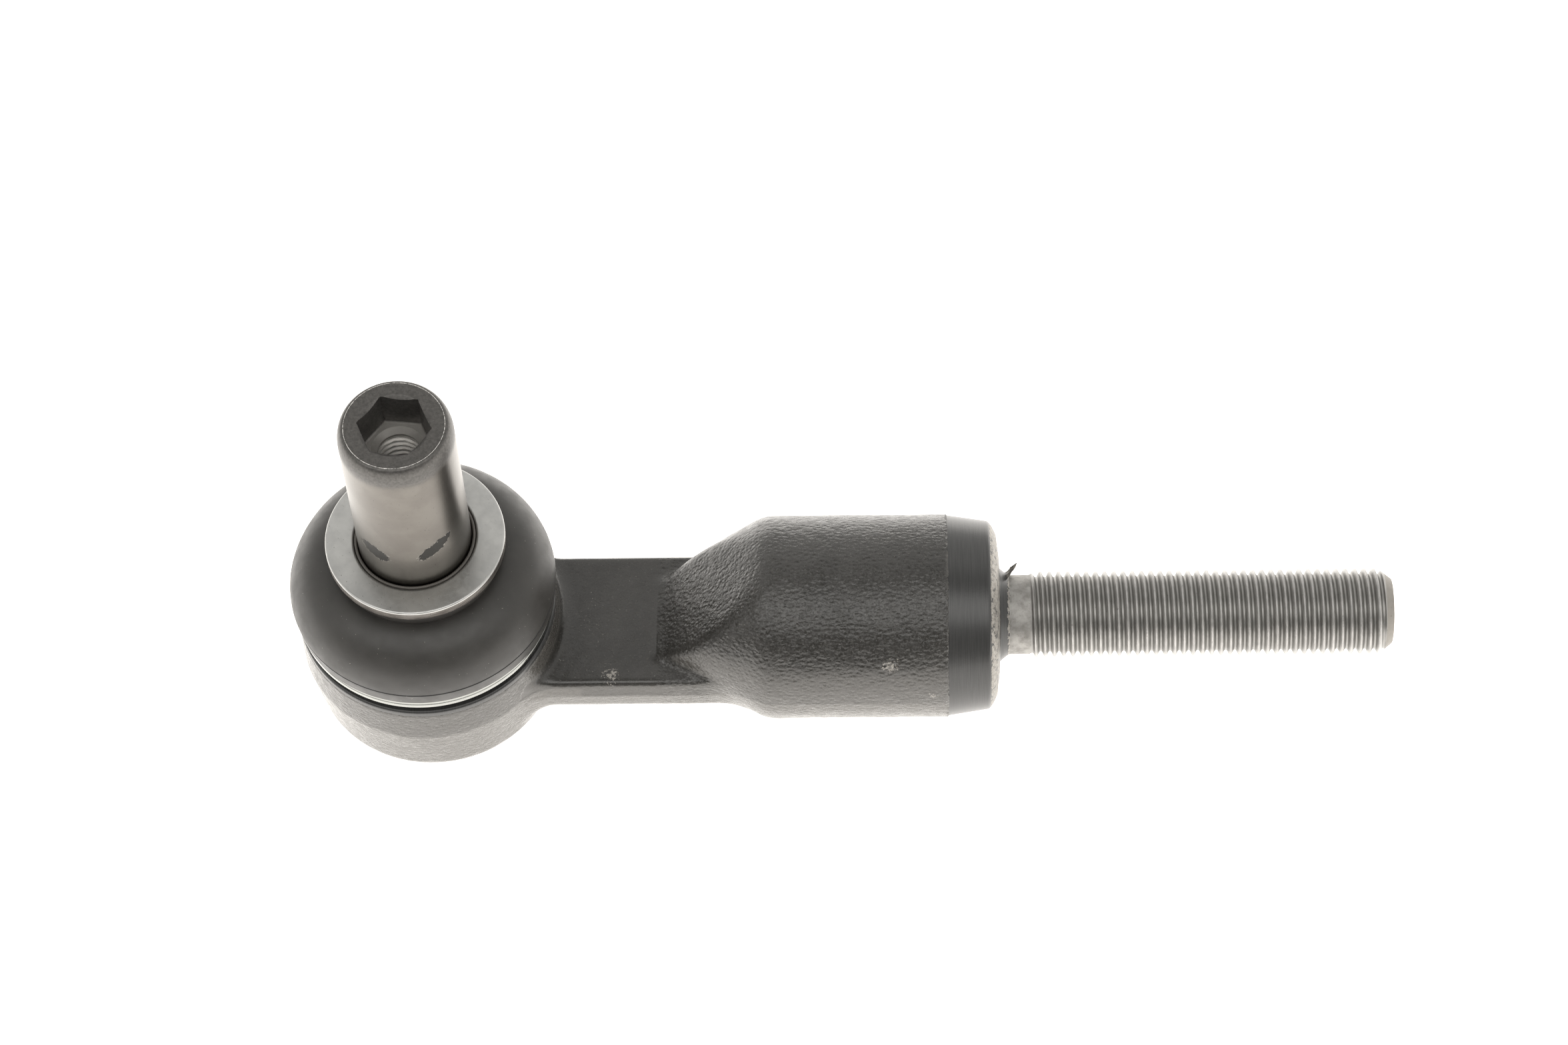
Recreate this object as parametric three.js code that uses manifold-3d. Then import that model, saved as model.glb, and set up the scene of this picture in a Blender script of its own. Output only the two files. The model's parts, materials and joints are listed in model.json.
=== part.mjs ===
// Tie rod end: a forged housing with a threaded shank, and a ball stud that swings and spins in it.
// Millimetres, +Z up. The origin is on the socket's axis, at the closing plate's flat outer face, and the
// shank runs along +X.
import * as THREE from "three";
import { mergeVertices } from "three/addons/utils/BufferGeometryUtils.js";
import Module from "manifold-3d";

const wasm = await Module();
wasm.setup();

// ---- driving dimensions ----
const GAP = 0.3; // between pieces that touch on the real part
const ROUND_SEGMENTS = 32;
const THREAD_SEGMENTS = 12;
const HOLE_SEGMENTS = 12;
const THREAD_FLANK = 30; // degrees, of each flank from square to the axis
const EDGE_BREAK = 0.4; // the small chamfer on machined edges
const CUT_MARGIN = 1; // how far a cutting shape runs past the face it opens

// ball joint
const BALL_R = 11.5;
const BALL_FLAT_ANGLE = 56; // degrees below the equator where the ball is cut flat
const WAIST_R = 6.8;
const WAIST_CLEARANCE = 0.45; // to the swung waist
const TILT_LIMIT = 25; // degrees that the stud swings from upright
const RACE_WALL = 2.7; // plastic shells, at the ball's equator
const RACE_SWELL = 0.4; // how much thicker the race is over its dome
const RACE_LIP = 2.23; // the race's height above its mouth
const RACE_FLOOR_CUT = 0.2; // how far the ball's seat runs through the race's floor
const PRELOAD_WALL = 2.9;
const PRELOAD_HEIGHT = 1.5;
const SEAL_WALL = 1.1;
const SEAL_HEIGHT = 0.9;
const SEAL_LAND = 0.75; // between the race's bore and the seal's groove

// cup
const CUP_WALL = 6.3; // at the forging's parting line
const CUP_PARTING_BELOW_AXIS = 1.5;
const CUP_TOP_DRAFT = 0.15;
const CUP_FOOT_DRAFT = 1.4;
const CUP_FOOT_Z = 0.3;
const CUP_FOOT_FILLET = 1.5;
const NECK_LAND = 2.8; // from the race's top to the neck's top
const NECK_HEIGHT = 4.5; // of the neck that the boot fits over
const NECK_FLARE = 1;
const BOOT_GROOVE_DEPTH = 3.7;
const BOOT_FLANGE_WIDTH = 0.9;
const BOOT_FLANGE_HEIGHT = 1;
const BOOT_FLANGE_SLOPE = 0.5;
const PLATE_SEAT = 2.4; // the closing plate's reach past the race's bore
const PLATE_FLANGE_THICKNESS = 0.5;
const ROLLED_LIP_THICKNESS = 0.7;
const ROLLED_LIP_WIDTH = 1.7;

// arm
const ARM_LENGTH = 16.4; // from the cup's side to the foot of the ramp
const ARM_HALF_WIDTH = 12.5;
const ARM_TOP_BELOW_AXIS = 0.4;
const ARM_BOTTOM_BELOW_AXIS = 8.9;
const ARM_PARTING_BELOW_AXIS = 3.7;
const ARM_DRAFT = 0.45; // how much narrower the arm is at its top and bottom than at its parting line
const ARM_EDGE_R = 3.5;
const ARM_TOP_EDGE_R = 0.8;
const ARM_ROOT_FILLET = 3; // where the arm's flanks run into the cup

// boss and shank
const BOSS_R = 16.5;
const BOSS_LENGTH = 29.2;
const BOSS_EDGE = 0.4;
const BOSS_CONE_LENGTH = 7;
const BOSS_CONE_DROP = 1.2;
const BOSS_CORNER_WIDTH = 2.9;
const BOSS_CORNER_LENGTH = 1.6;
const SHOULDER_START_R = 7;
const SHOULDER_BURIED = 4; // the shoulder's tip, inside the arm
const THREAD_R = 7; // M14
const THREAD_PITCH = 1.5;
const THREAD_DEPTH = 0.92;
const THREAD_LENGTH = 58.4;
const SHANK_UNDERCUT = 0.55; // the bare neck's radius below the thread's
const SHANK_NECK_LENGTH = 5.4;
const SHANK_NECK_FILLET = 1.6;
const SHANK_CHAMFER = 2.2;

// stud
const PIN_R = 9;
const PIN_HEIGHT = 32.25; // above the washer
const PIN_BELOW_WASHER = 6.5;
const PIN_TAPER = 5.5;
const NOSE_LENGTH = 3.3;
const NOSE_WIDTH = 1.15;
const HEX_ACROSS_FLATS = 10;
const HEX_DEPTH = 6.8;
const HEX_CHAMFER = 0.5;
const HEX_CORNER_ANGLE = -6; // degrees, from +X
const HOLE_R = 3.35; // the internal thread's minor radius, M8
const HOLE_THREAD_DEPTH = 0.68;
const HOLE_THREAD_PITCH = 1.25;
const HOLE_DEPTH = 18;
const HOLE_TIP = 1.9;
const HOLE_COUNTERSINK = 0.95;

// washer, boot and rings
const WASHER_ABOVE_NECK = 15.55; // from the neck's top to the washer's top
const WASHER_THICKNESS = 2;
const WASHER_WIDTH = 5.3; // from the pin to its rim
const WASHER_BEVEL = 0.35;
const LIP_CLEARANCE = 0.15; // the boot's lip to the pin, and to the washer's bore
const LIP_WALL = 0.4;
const LIP_RECESS = 0.9; // the lip's top, below the washer's
const BOOT_WALL = 1.6;
const BOOT_BULGE = 0.55; // past the clamp ring
const BOOT_WIDEST_ABOVE_RING = 2.7;
const BOOT_COLLAR_INSET = 1; // from the washer's rim
const BOOT_COLLAR_WALL = 0.64; // at its foot
const BOOT_COLLAR_HEIGHT = 2.4;
const CLAMP_RING_INSET = 0.25; // from the cup's side
const CLAMP_RING_WALL = 0.95;
const CLAMP_RING_RISE = 1.6; // above the cup's top
const CLAMP_RING_HEIGHT = 1.7;
const MOUTH_RING_INSET = 0.36; // from the boot's collar
const MOUTH_RING_HEIGHT = 1;
const MOUTH_RING_CLEARANCE = 1.1; // to the pin

// ---- fits that follow from them ----
const radians = THREE.MathUtils.degToRad;
const degrees = THREE.MathUtils.radToDeg;

const RACE_R = BALL_R + GAP;
const RACE_OUTER_R = RACE_R + RACE_WALL;
const RACE_DOME_R = RACE_OUTER_R + RACE_SWELL;
const SOCKET_R = RACE_OUTER_R + GAP;
const SOCKET_DOME_R = RACE_DOME_R + GAP;
const RACE_SPLIT_ANGLE = degrees(Math.asin(GAP / 2 / RACE_R));
const RACE_MOUTH_ANGLE = 90 - TILT_LIMIT - degrees(Math.asin((WAIST_R + WAIST_CLEARANCE) / RACE_R));
const RACE_TOP = RACE_R * Math.sin(radians(RACE_MOUTH_ANGLE)) + RACE_LIP; // above the ball's centre
const PRELOAD_INNER_R = RACE_OUTER_R - PRELOAD_WALL;
const SEAL_INNER_R = SOCKET_R + SEAL_LAND;
const SEAL_OUTER_R = SEAL_INNER_R + SEAL_WALL;

const PLATE_R = SOCKET_R + PLATE_SEAT;
const ROLLED_LIP_R = PLATE_R - ROLLED_LIP_WIDTH;
const ROLLED_LIP_Z = CUP_FOOT_Z + ROLLED_LIP_THICKNESS;
const PLATE_FLANGE_Z = ROLLED_LIP_Z + GAP;
const PLATE_TOP_Z = PLATE_FLANGE_Z + PLATE_FLANGE_THICKNESS;
const SHOULDER_Z = PLATE_TOP_Z + GAP; // the housing's step over the closing plate
const ROD_AXIS_Z = SHOULDER_Z + RACE_R - RACE_FLOOR_CUT; // the ball's centre and the shank's axis

const CUP_R = SOCKET_R + CUP_WALL;
const CUP_TOP_R = CUP_R - CUP_TOP_DRAFT;
const CUP_FOOT_R = CUP_R - CUP_FOOT_DRAFT;
const CUP_PARTING_Z = ROD_AXIS_Z - CUP_PARTING_BELOW_AXIS;
const SOCKET_TOP = RACE_TOP + GAP; // above the ball's centre
const NECK_TOP = SOCKET_TOP + NECK_LAND; // above the ball's centre
const NECK_TOP_Z = ROD_AXIS_Z + NECK_TOP;
const CUP_TOP_Z = NECK_TOP_Z - NECK_HEIGHT;
const BOOT_GROOVE_R = CUP_R - BOOT_GROOVE_DEPTH;
const BOOT_FLANGE_R = BOOT_GROOVE_R + BOOT_FLANGE_WIDTH;
const BOOT_FLANGE_Z = NECK_TOP_Z - BOOT_FLANGE_HEIGHT;

const ARM_TOP_Z = ROD_AXIS_Z - ARM_TOP_BELOW_AXIS;
const ARM_BOTTOM_Z = ROD_AXIS_Z - ARM_BOTTOM_BELOW_AXIS;
const ARM_NARROW = ARM_HALF_WIDTH - ARM_DRAFT;
const RAMP_X = CUP_R + ARM_LENGTH; // the foot of the ramp, where the boss's shoulder begins
const BOSS_START_X = RAMP_X + BOSS_R + ARM_TOP_BELOW_AXIS + BOSS_EDGE;
const BOSS_CONE_X = BOSS_START_X + BOSS_LENGTH;
const BOSS_END_X = BOSS_CONE_X + BOSS_CONE_LENGTH;
const BOSS_END_R = BOSS_R - BOSS_CONE_DROP;
const BOSS_FACE_X = BOSS_END_X + BOSS_CORNER_LENGTH;
const BOSS_FACE_R = BOSS_END_R - BOSS_CORNER_WIDTH;
const SHANK_NECK_R = THREAD_R - SHANK_UNDERCUT;
const THREAD_START_X = BOSS_FACE_X + SHANK_NECK_LENGTH;
const SHANK_END_X = THREAD_START_X + THREAD_LENGTH;

const WASHER_TOP_Z = NECK_TOP_Z + WASHER_ABOVE_NECK;
const WASHER_UNDER_Z = WASHER_TOP_Z - WASHER_THICKNESS;
const WASHER_R = PIN_R + WASHER_WIDTH;
const STUD_TOP_Z = WASHER_TOP_Z + PIN_HEIGHT;
const PIN_START_Z = WASHER_TOP_Z - PIN_BELOW_WASHER;
const WAIST_TOP_Z = PIN_START_Z - PIN_TAPER;

const CLAMP_RING_R = CUP_R - CLAMP_RING_INSET;
const CLAMP_RING_INNER_R = CLAMP_RING_R - CLAMP_RING_WALL;
const CLAMP_RING_Z = CUP_TOP_Z + CLAMP_RING_RISE;
const CLAMP_RING_TOP_Z = CLAMP_RING_Z + CLAMP_RING_HEIGHT;
const BEAD_R = CLAMP_RING_INNER_R - GAP;
const BOOT_R = CLAMP_RING_R + BOOT_BULGE; // at its widest
const BOOT_WIDEST_Z = CLAMP_RING_TOP_Z + BOOT_WIDEST_ABOVE_RING;
const BOOT_COLLAR_R = WASHER_R - BOOT_COLLAR_INSET;
const BOOT_COLLAR_INNER_R = BOOT_COLLAR_R - BOOT_COLLAR_WALL;
const COLLAR_TOP_Z = WASHER_UNDER_Z - GAP;
const COLLAR_Z = COLLAR_TOP_Z - BOOT_COLLAR_HEIGHT;
const LIP_R = PIN_R + LIP_CLEARANCE;
const LIP_OUTER_R = LIP_R + LIP_WALL;
const LIP_TOP_Z = WASHER_TOP_Z - LIP_RECESS;
const WASHER_BORE_R = LIP_OUTER_R + LIP_CLEARANCE;
const MOUTH_RING_R = BOOT_COLLAR_INNER_R - MOUTH_RING_INSET;
const MOUTH_RING_INNER_R = PIN_R + MOUTH_RING_CLEARANCE;
const MOUTH_RING_TOP_Z = COLLAR_Z - GAP;

// How far the waist and its clearance reach from the socket's axis, at a height above the ball's centre,
// with the stud swung over to its limit.
function waistReach(height) {
  const tilt = radians(TILT_LIMIT);
  return (WAIST_R + WAIST_CLEARANCE) / Math.cos(tilt) + height * Math.tan(tilt);
}

// ---- helpers ----
// A closed geometry with only its positions, and its shared vertices merged.
function bare(geometry) {
  const copy = geometry.clone();
  copy.deleteAttribute("normal");
  copy.deleteAttribute("uv");
  return mergeVertices(copy, 1e-4);
}

function toSolid(geometry) {
  const merged = bare(geometry);
  const vertProperties = new Float32Array(merged.attributes.position.array);
  const triVerts = new Uint32Array(merged.index.array);
  return new wasm.Manifold(new wasm.Mesh({ numProp: 3, vertProperties, triVerts }));
}

function toGeometry(solid) {
  const mesh = solid.getMesh();
  const geometry = new THREE.BufferGeometry();
  geometry.setAttribute("position", new THREE.BufferAttribute(mesh.vertProperties, mesh.numProp));
  geometry.setIndex(new THREE.BufferAttribute(mesh.triVerts, 1));
  return geometry;
}

// A profile of [radius, height] points, turned round the Z axis. Points run upwards on the outside.
function turned(profile, segments = ROUND_SEGMENTS) {
  const points = profile.map(([r, z]) => new THREE.Vector2(r, z));
  return new THREE.LatheGeometry(points, segments).rotateX(Math.PI / 2);
}

// A ring: its profile closes on itself.
const ring = (profile, segments) => turned([...profile, profile[0]], segments);

// Points of a round stretch in a profile, about [r, z], between two angles in degrees.
function arc(r, z, radiusR, radiusZ, from, to, steps) {
  return Array.from({ length: steps + 1 }, (_, i) => {
    const a = radians(from + ((to - from) * i) / steps);
    return [r + radiusR * Math.cos(a), z + radiusZ * Math.sin(a)];
  });
}

// Lays a shape made about Z along +X, on the shank's axis: its height becomes its place along X.
function alongX(geometry) {
  return geometry
    .rotateZ(Math.PI / 2)
    .rotateY(Math.PI / 2)
    .translate(0, 0, ROD_AXIS_Z);
}

// A right-hand threaded rod about Z. Each turn has four rows of points: the root's two edges and the
// crest's two.
function threadedRod(radius, depth, pitch, from, to, segments) {
  const flank = (depth * Math.tan(radians(THREAD_FLANK))) / pitch;
  const crest = 1 / 8;
  const rows = [
    [0, radius - depth],
    [1 - 2 * flank - crest, radius - depth],
    [1 - flank - crest, radius],
    [1 - flank, radius],
  ];
  const turns = Math.ceil((to - from) / pitch);
  const perTurn = rows.length;
  const count = turns * perTurn;
  const positions = [];
  for (let i = 0; i <= count; i++) {
    const [share, r] = rows[i % perTurn];
    const height = from + (Math.floor(i / perTurn) + share) * pitch;
    for (let j = 0; j < segments; j++) {
      const a = (2 * Math.PI * j) / segments;
      positions.push(r * Math.cos(a), r * Math.sin(a), height + (pitch * j) / segments);
    }
  }
  const at = (i, j) => (j < segments ? i * segments + j : (i + perTurn) * segments + j - segments);
  const index = [];
  for (let i = 0; i < count; i++) {
    for (let j = 0; j < segments; j++) {
      if (j === segments - 1 && i + 1 + perTurn > count) continue;
      index.push(at(i, j), at(i, j + 1), at(i + 1, j + 1), at(i, j), at(i + 1, j + 1), at(i + 1, j));
    }
  }
  closeEnd(positions, index, startLoop(at, perTurn, segments).reverse(), from - pitch / 2);
  closeEnd(positions, index, endLoop(at, count, perTurn, segments), from + (turns + 1.5) * pitch);
  const geometry = new THREE.BufferGeometry();
  geometry.setAttribute("position", new THREE.Float32BufferAttribute(positions, 3));
  geometry.setIndex(index);
  return geometry;
}

// The open edge at the thread's start: once round the first row, then back down the first turn's step.
function startLoop(at, perTurn, segments) {
  const loop = Array.from({ length: segments }, (_, j) => at(0, j));
  for (let i = perTurn; i > 0; i--) loop.push(at(i, 0));
  return loop;
}

// The open edge at the thread's end: once round the last row, then back down the last turn's step.
function endLoop(at, count, perTurn, segments) {
  const loop = Array.from({ length: segments }, (_, j) => at(count, j));
  for (let i = count - 1; i >= count - perTurn; i--) loop.push(at(i, segments - 1));
  return loop;
}

// Fans an open loop to a point on the axis.
function closeEnd(positions, index, loop, height) {
  const tip = positions.length / 3;
  positions.push(0, 0, height);
  loop.forEach((vertex, i) => index.push(vertex, loop[(i + 1) % loop.length], tip));
}

// ---- materials ----
function material(color, roughness, metalness) {
  return new THREE.MeshStandardMaterial({ color, roughness, metalness });
}

const PAINTED_FORGING = material(0x35342f, 0.5, 0.3);
const GROUND_STEEL = material(0x8f8a82, 0.32, 1);
const WASHER_STEEL = material(0xa5a6a4, 0.3, 1);
const RING_STEEL = material(0xc4c6c4, 0.2, 1);
const BOOT_RUBBER = material(0x3b3b39, 0.75, 0);
const RACE_PLASTIC = material(0xe6e2d6, 0.45, 0);
const PRELOAD_ELASTOMER = material(0x6a4a2c, 0.8, 0);
const SEAL_RUBBER = material(0x232323, 0.8, 0);
const PLATE_STEEL = material(0x8c8d88, 0.4, 1);

// ---- forged housing ----
// The outside of the ball cup, with the neck and groove that hold the boot.
function cupBody() {
  const footR = CUP_FOOT_R - CUP_FOOT_FILLET;
  const footZ = CUP_FOOT_Z + CUP_FOOT_FILLET;
  return toSolid(
    turned([
      [0, CUP_FOOT_Z],
      ...arc(footR, footZ, CUP_FOOT_FILLET, CUP_FOOT_FILLET, -90, 0, 3),
      [CUP_R, CUP_PARTING_Z],
      [CUP_TOP_R, CUP_TOP_Z - EDGE_BREAK],
      [CUP_TOP_R - EDGE_BREAK, CUP_TOP_Z],
      [BOOT_GROOVE_R, CUP_TOP_Z],
      [BOOT_GROOVE_R, BOOT_FLANGE_Z - BOOT_FLANGE_SLOPE],
      [BOOT_FLANGE_R, BOOT_FLANGE_Z],
      [BOOT_FLANGE_R, NECK_TOP_Z - EDGE_BREAK],
      [BOOT_FLANGE_R - EDGE_BREAK, NECK_TOP_Z],
      [0, NECK_TOP_Z],
    ]),
  );
}

// What is bored out of the cup: the closing plate's seat, the seal's groove, the race's bore, its dome, and
// the mouth.
function cupBore() {
  const domeStart = degrees(Math.acos(SOCKET_R / SOCKET_DOME_R));
  const domeEnd = degrees(Math.asin(SOCKET_TOP / SOCKET_DOME_R));
  const grooveTop = SHOULDER_Z + SEAL_HEIGHT + GAP / 2;
  const mouthR = waistReach(NECK_TOP) + GAP + NECK_FLARE;
  return toSolid(
    turned([
      [0, CUP_FOOT_Z - CUT_MARGIN],
      [ROLLED_LIP_R, CUP_FOOT_Z - CUT_MARGIN],
      [ROLLED_LIP_R, ROLLED_LIP_Z],
      [PLATE_R + GAP, ROLLED_LIP_Z],
      [PLATE_R + GAP, SHOULDER_Z],
      [SEAL_OUTER_R + GAP / 2, SHOULDER_Z],
      [SEAL_OUTER_R + GAP / 2, grooveTop],
      [SEAL_INNER_R - GAP / 2, grooveTop],
      [SEAL_INNER_R - GAP / 2, SHOULDER_Z],
      [SOCKET_R, SHOULDER_Z],
      ...arc(0, ROD_AXIS_Z, SOCKET_DOME_R, SOCKET_DOME_R, domeStart, domeEnd, 4),
      [waistReach(SOCKET_TOP) + GAP, ROD_AXIS_Z + SOCKET_TOP],
      [mouthR, NECK_TOP_Z],
      [mouthR, NECK_TOP_Z + CUT_MARGIN],
      [0, NECK_TOP_Z + CUT_MARGIN],
    ]),
  );
}

// Half of the arm's section, from its bottom's middle to its top's middle, as [half width, height].
function armSection() {
  const topZ = ARM_TOP_Z - ARM_TOP_EDGE_R;
  return [
    ...arc(ARM_NARROW - ARM_EDGE_R, ARM_BOTTOM_Z + ARM_EDGE_R, ARM_EDGE_R, ARM_EDGE_R, -90, 0, 4),
    [ARM_HALF_WIDTH, ROD_AXIS_Z - ARM_PARTING_BELOW_AXIS],
    ...arc(ARM_NARROW - ARM_TOP_EDGE_R, topZ, ARM_TOP_EDGE_R, ARM_TOP_EDGE_R, 0, 90, 2),
  ];
}

// The arm's bar, from inside the cup to inside the boss.
function armBar() {
  const half = armSection();
  const outline = new THREE.Shape([
    ...half.map(([y, z]) => new THREE.Vector2(y, z)),
    ...half.reverse().map(([y, z]) => new THREE.Vector2(-y, z)),
  ]);
  const length = BOSS_START_X - SOCKET_R;
  const bar = new THREE.ExtrudeGeometry(outline, { depth: length, bevelEnabled: false });
  return toSolid(bar.rotateX(Math.PI / 2).rotateZ(Math.PI / 2).translate(SOCKET_R, 0, 0));
}

// The web where the arm meets the cup: each flank runs into the cup's round side on a hollow fillet.
function armRoot() {
  const centreY = ARM_NARROW + ARM_ROOT_FILLET;
  const centreX = Math.sqrt((CUP_TOP_R + ARM_ROOT_FILLET) ** 2 - centreY ** 2);
  const onCup = degrees(Math.atan2(-centreY, -centreX));
  const inner = SOCKET_R / Math.SQRT2;
  const side = [...arc(centreX, centreY, ARM_ROOT_FILLET, ARM_ROOT_FILLET, -90, onCup, 4), [inner, inner]];
  const outline = new THREE.Shape([
    ...side.map(([x, y]) => new THREE.Vector2(x, y)),
    ...side.reverse().map(([x, y]) => new THREE.Vector2(x, -y)),
  ]);
  const bottom = ARM_BOTTOM_Z + ARM_EDGE_R;
  const height = ARM_TOP_Z - ARM_TOP_EDGE_R - bottom;
  const web = new THREE.ExtrudeGeometry(outline, { depth: height, bevelEnabled: false });
  return toSolid(web.translate(0, 0, bottom));
}

// The boss and the smooth shank core, along the shank's axis.
function bossBody() {
  const neckFilletR = SHANK_NECK_R + SHANK_NECK_FILLET;
  const neckFilletX = BOSS_FACE_X + SHANK_NECK_FILLET;
  const coreEndX = THREAD_START_X + THREAD_PITCH;
  return toSolid(
    alongX(
      turned([
        [0, RAMP_X - SHOULDER_BURIED],
        [SHOULDER_START_R / 2, RAMP_X - SHOULDER_BURIED],
        [SHOULDER_START_R, RAMP_X],
        [BOSS_R - BOSS_EDGE, BOSS_START_X - BOSS_EDGE],
        [BOSS_R, BOSS_START_X + BOSS_EDGE],
        [BOSS_R, BOSS_CONE_X],
        [BOSS_END_R, BOSS_END_X],
        ...arc(BOSS_FACE_R, BOSS_END_X, BOSS_CORNER_WIDTH, BOSS_CORNER_LENGTH, 25, 90, 3),
        ...arc(neckFilletR, neckFilletX, SHANK_NECK_FILLET, SHANK_NECK_FILLET, -90, -180, 3),
        [SHANK_NECK_R, coreEndX],
        [0, coreEndX],
      ]),
    ),
  );
}

// Everything above the pad and above the ramp that rises from it at 45 degrees to the boss's full height.
function aboveRamp() {
  const reach = 2 * BOSS_R;
  const wedge = new THREE.Shape([
    new THREE.Vector2(RAMP_X - reach, ARM_TOP_Z),
    new THREE.Vector2(RAMP_X, ARM_TOP_Z),
    new THREE.Vector2(RAMP_X + reach, ARM_TOP_Z + reach),
    new THREE.Vector2(RAMP_X - reach, ARM_TOP_Z + reach),
  ]);
  const width = 2 * reach;
  const cut = new THREE.ExtrudeGeometry(wedge, { depth: width, bevelEnabled: false });
  return toSolid(cut.rotateX(Math.PI / 2).translate(0, reach, 0));
}

// The thread, trimmed by its run-out cone and by the chamfer at the shank's end.
function shankThread() {
  const rodStart = THREAD_START_X - 2 * THREAD_PITCH;
  const rodEnd = SHANK_END_X + THREAD_PITCH;
  const rod = toSolid(threadedRod(THREAD_R, THREAD_DEPTH, THREAD_PITCH, rodStart, rodEnd, THREAD_SEGMENTS));
  const clearR = THREAD_R + GAP;
  const envelope = toSolid(
    turned([
      [0, THREAD_START_X - THREAD_PITCH / 2],
      [THREAD_R - THREAD_DEPTH, THREAD_START_X - THREAD_PITCH / 2],
      [clearR, THREAD_START_X + THREAD_PITCH / 2],
      [clearR, SHANK_END_X - SHANK_CHAMFER],
      [THREAD_R - SHANK_CHAMFER, SHANK_END_X],
      [0, SHANK_END_X],
    ]),
  );
  return toSolid(alongX(toGeometry(rod.intersect(envelope))));
}

function forgedHousing() {
  const boss = bossBody().subtract(aboveRamp());
  const body = cupBody().add(armBar()).add(armRoot()).add(boss).add(shankThread());
  return body.subtract(cupBore());
}

// ---- ball stud ----
function hexPrism(cornerR, from, to) {
  const prism = new THREE.CylinderGeometry(cornerR, cornerR, to - from, 6);
  return prism
    .rotateX(Math.PI / 2)
    .rotateZ(radians(90 + HEX_CORNER_ANGLE))
    .translate(0, 0, (from + to) / 2);
}

// The ball, its waist, and the pin with its rounded nose.
function studBlank() {
  const waistAngle = degrees(Math.acos(WAIST_R / BALL_R));
  const flatZ = ROD_AXIS_Z - BALL_R * Math.sin(radians(BALL_FLAT_ANGLE));
  return toSolid(
    turned([
      [0, flatZ],
      ...arc(0, ROD_AXIS_Z, BALL_R, BALL_R, -BALL_FLAT_ANGLE, waistAngle, 12),
      [WAIST_R, WAIST_TOP_Z],
      [PIN_R, PIN_START_Z],
      ...arc(PIN_R - NOSE_WIDTH, STUD_TOP_Z - NOSE_LENGTH, NOSE_WIDTH, NOSE_LENGTH, 0, 90, 4),
      [0, STUD_TOP_Z],
    ]),
  );
}

// What is cut from the pin's end: the hexagon socket with its chamfered mouth, and the threaded hole below.
function studTools() {
  const floorZ = STUD_TOP_Z - HEX_DEPTH;
  const cornerR = HEX_ACROSS_FLATS / Math.sqrt(3);
  const chamferZ = STUD_TOP_Z - 2 * HEX_CHAMFER;
  const mouth = turned([
    [0, chamferZ],
    [cornerR - HEX_CHAMFER, chamferZ],
    [cornerR + HEX_CHAMFER, STUD_TOP_Z],
    [cornerR + HEX_CHAMFER, STUD_TOP_Z + CUT_MARGIN],
    [0, STUD_TOP_Z + CUT_MARGIN],
  ]);
  const hole = turned(
    [
      [0, floorZ - HOLE_DEPTH - HOLE_TIP],
      [HOLE_R, floorZ - HOLE_DEPTH],
      [HOLE_R, floorZ - HOLE_COUNTERSINK],
      [HOLE_R + HOLE_COUNTERSINK, floorZ],
      [0, floorZ + CUT_MARGIN],
    ],
    HOLE_SEGMENTS,
  );
  const grooves = threadedRod(
    HOLE_R + HOLE_THREAD_DEPTH,
    HOLE_THREAD_DEPTH + GAP,
    HOLE_THREAD_PITCH,
    floorZ - HOLE_DEPTH + 2 * HOLE_THREAD_PITCH,
    floorZ - HOLE_COUNTERSINK - 2 * HOLE_THREAD_PITCH,
    HOLE_SEGMENTS,
  );
  return [hexPrism(cornerR, floorZ, STUD_TOP_Z + CUT_MARGIN), mouth, hole, grooves];
}

const ballStud = () => studTools().reduce((solid, tool) => solid.subtract(toSolid(tool)), studBlank());

// ---- race, preload ring and closing plate ----
// The shell over the ball's upper half. Its mouth opens along the swung waist.
function upperShell() {
  const splitZ = ROD_AXIS_Z + GAP / 2;
  const domeStart = degrees(Math.acos(RACE_OUTER_R / RACE_DOME_R));
  const domeEnd = degrees(Math.asin(RACE_TOP / RACE_DOME_R));
  return ring([
    [RACE_OUTER_R, splitZ],
    ...arc(0, ROD_AXIS_Z, RACE_DOME_R, RACE_DOME_R, domeStart, domeEnd, 3),
    [waistReach(RACE_TOP), ROD_AXIS_Z + RACE_TOP],
    ...arc(0, ROD_AXIS_Z, RACE_R, RACE_R, RACE_MOUTH_ANGLE, RACE_SPLIT_ANGLE, 5),
  ]);
}

// The shell under the ball's lower half, stepped round the preload ring.
function lowerShell() {
  const stepZ = SHOULDER_Z + PRELOAD_HEIGHT + GAP;
  const floorAngle = -degrees(Math.asin((ROD_AXIS_Z - SHOULDER_Z) / RACE_R));
  return ring([
    [PRELOAD_INNER_R - GAP, SHOULDER_Z],
    [PRELOAD_INNER_R - GAP, stepZ],
    [RACE_OUTER_R, stepZ],
    [RACE_OUTER_R, ROD_AXIS_Z - GAP / 2],
    ...arc(0, ROD_AXIS_Z, RACE_R, RACE_R, -RACE_SPLIT_ANGLE, floorAngle, 8),
  ]);
}

const flatRing = (innerR, outerR, from, to) =>
  ring([
    [innerR, from],
    [outerR, from],
    [outerR, to],
    [innerR, to],
  ]);

const preloadRing = () => flatRing(PRELOAD_INNER_R, RACE_OUTER_R, SHOULDER_Z, SHOULDER_Z + PRELOAD_HEIGHT);
const coverSealRing = () => flatRing(SEAL_INNER_R, SEAL_OUTER_R, SHOULDER_Z, SHOULDER_Z + SEAL_HEIGHT);

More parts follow.
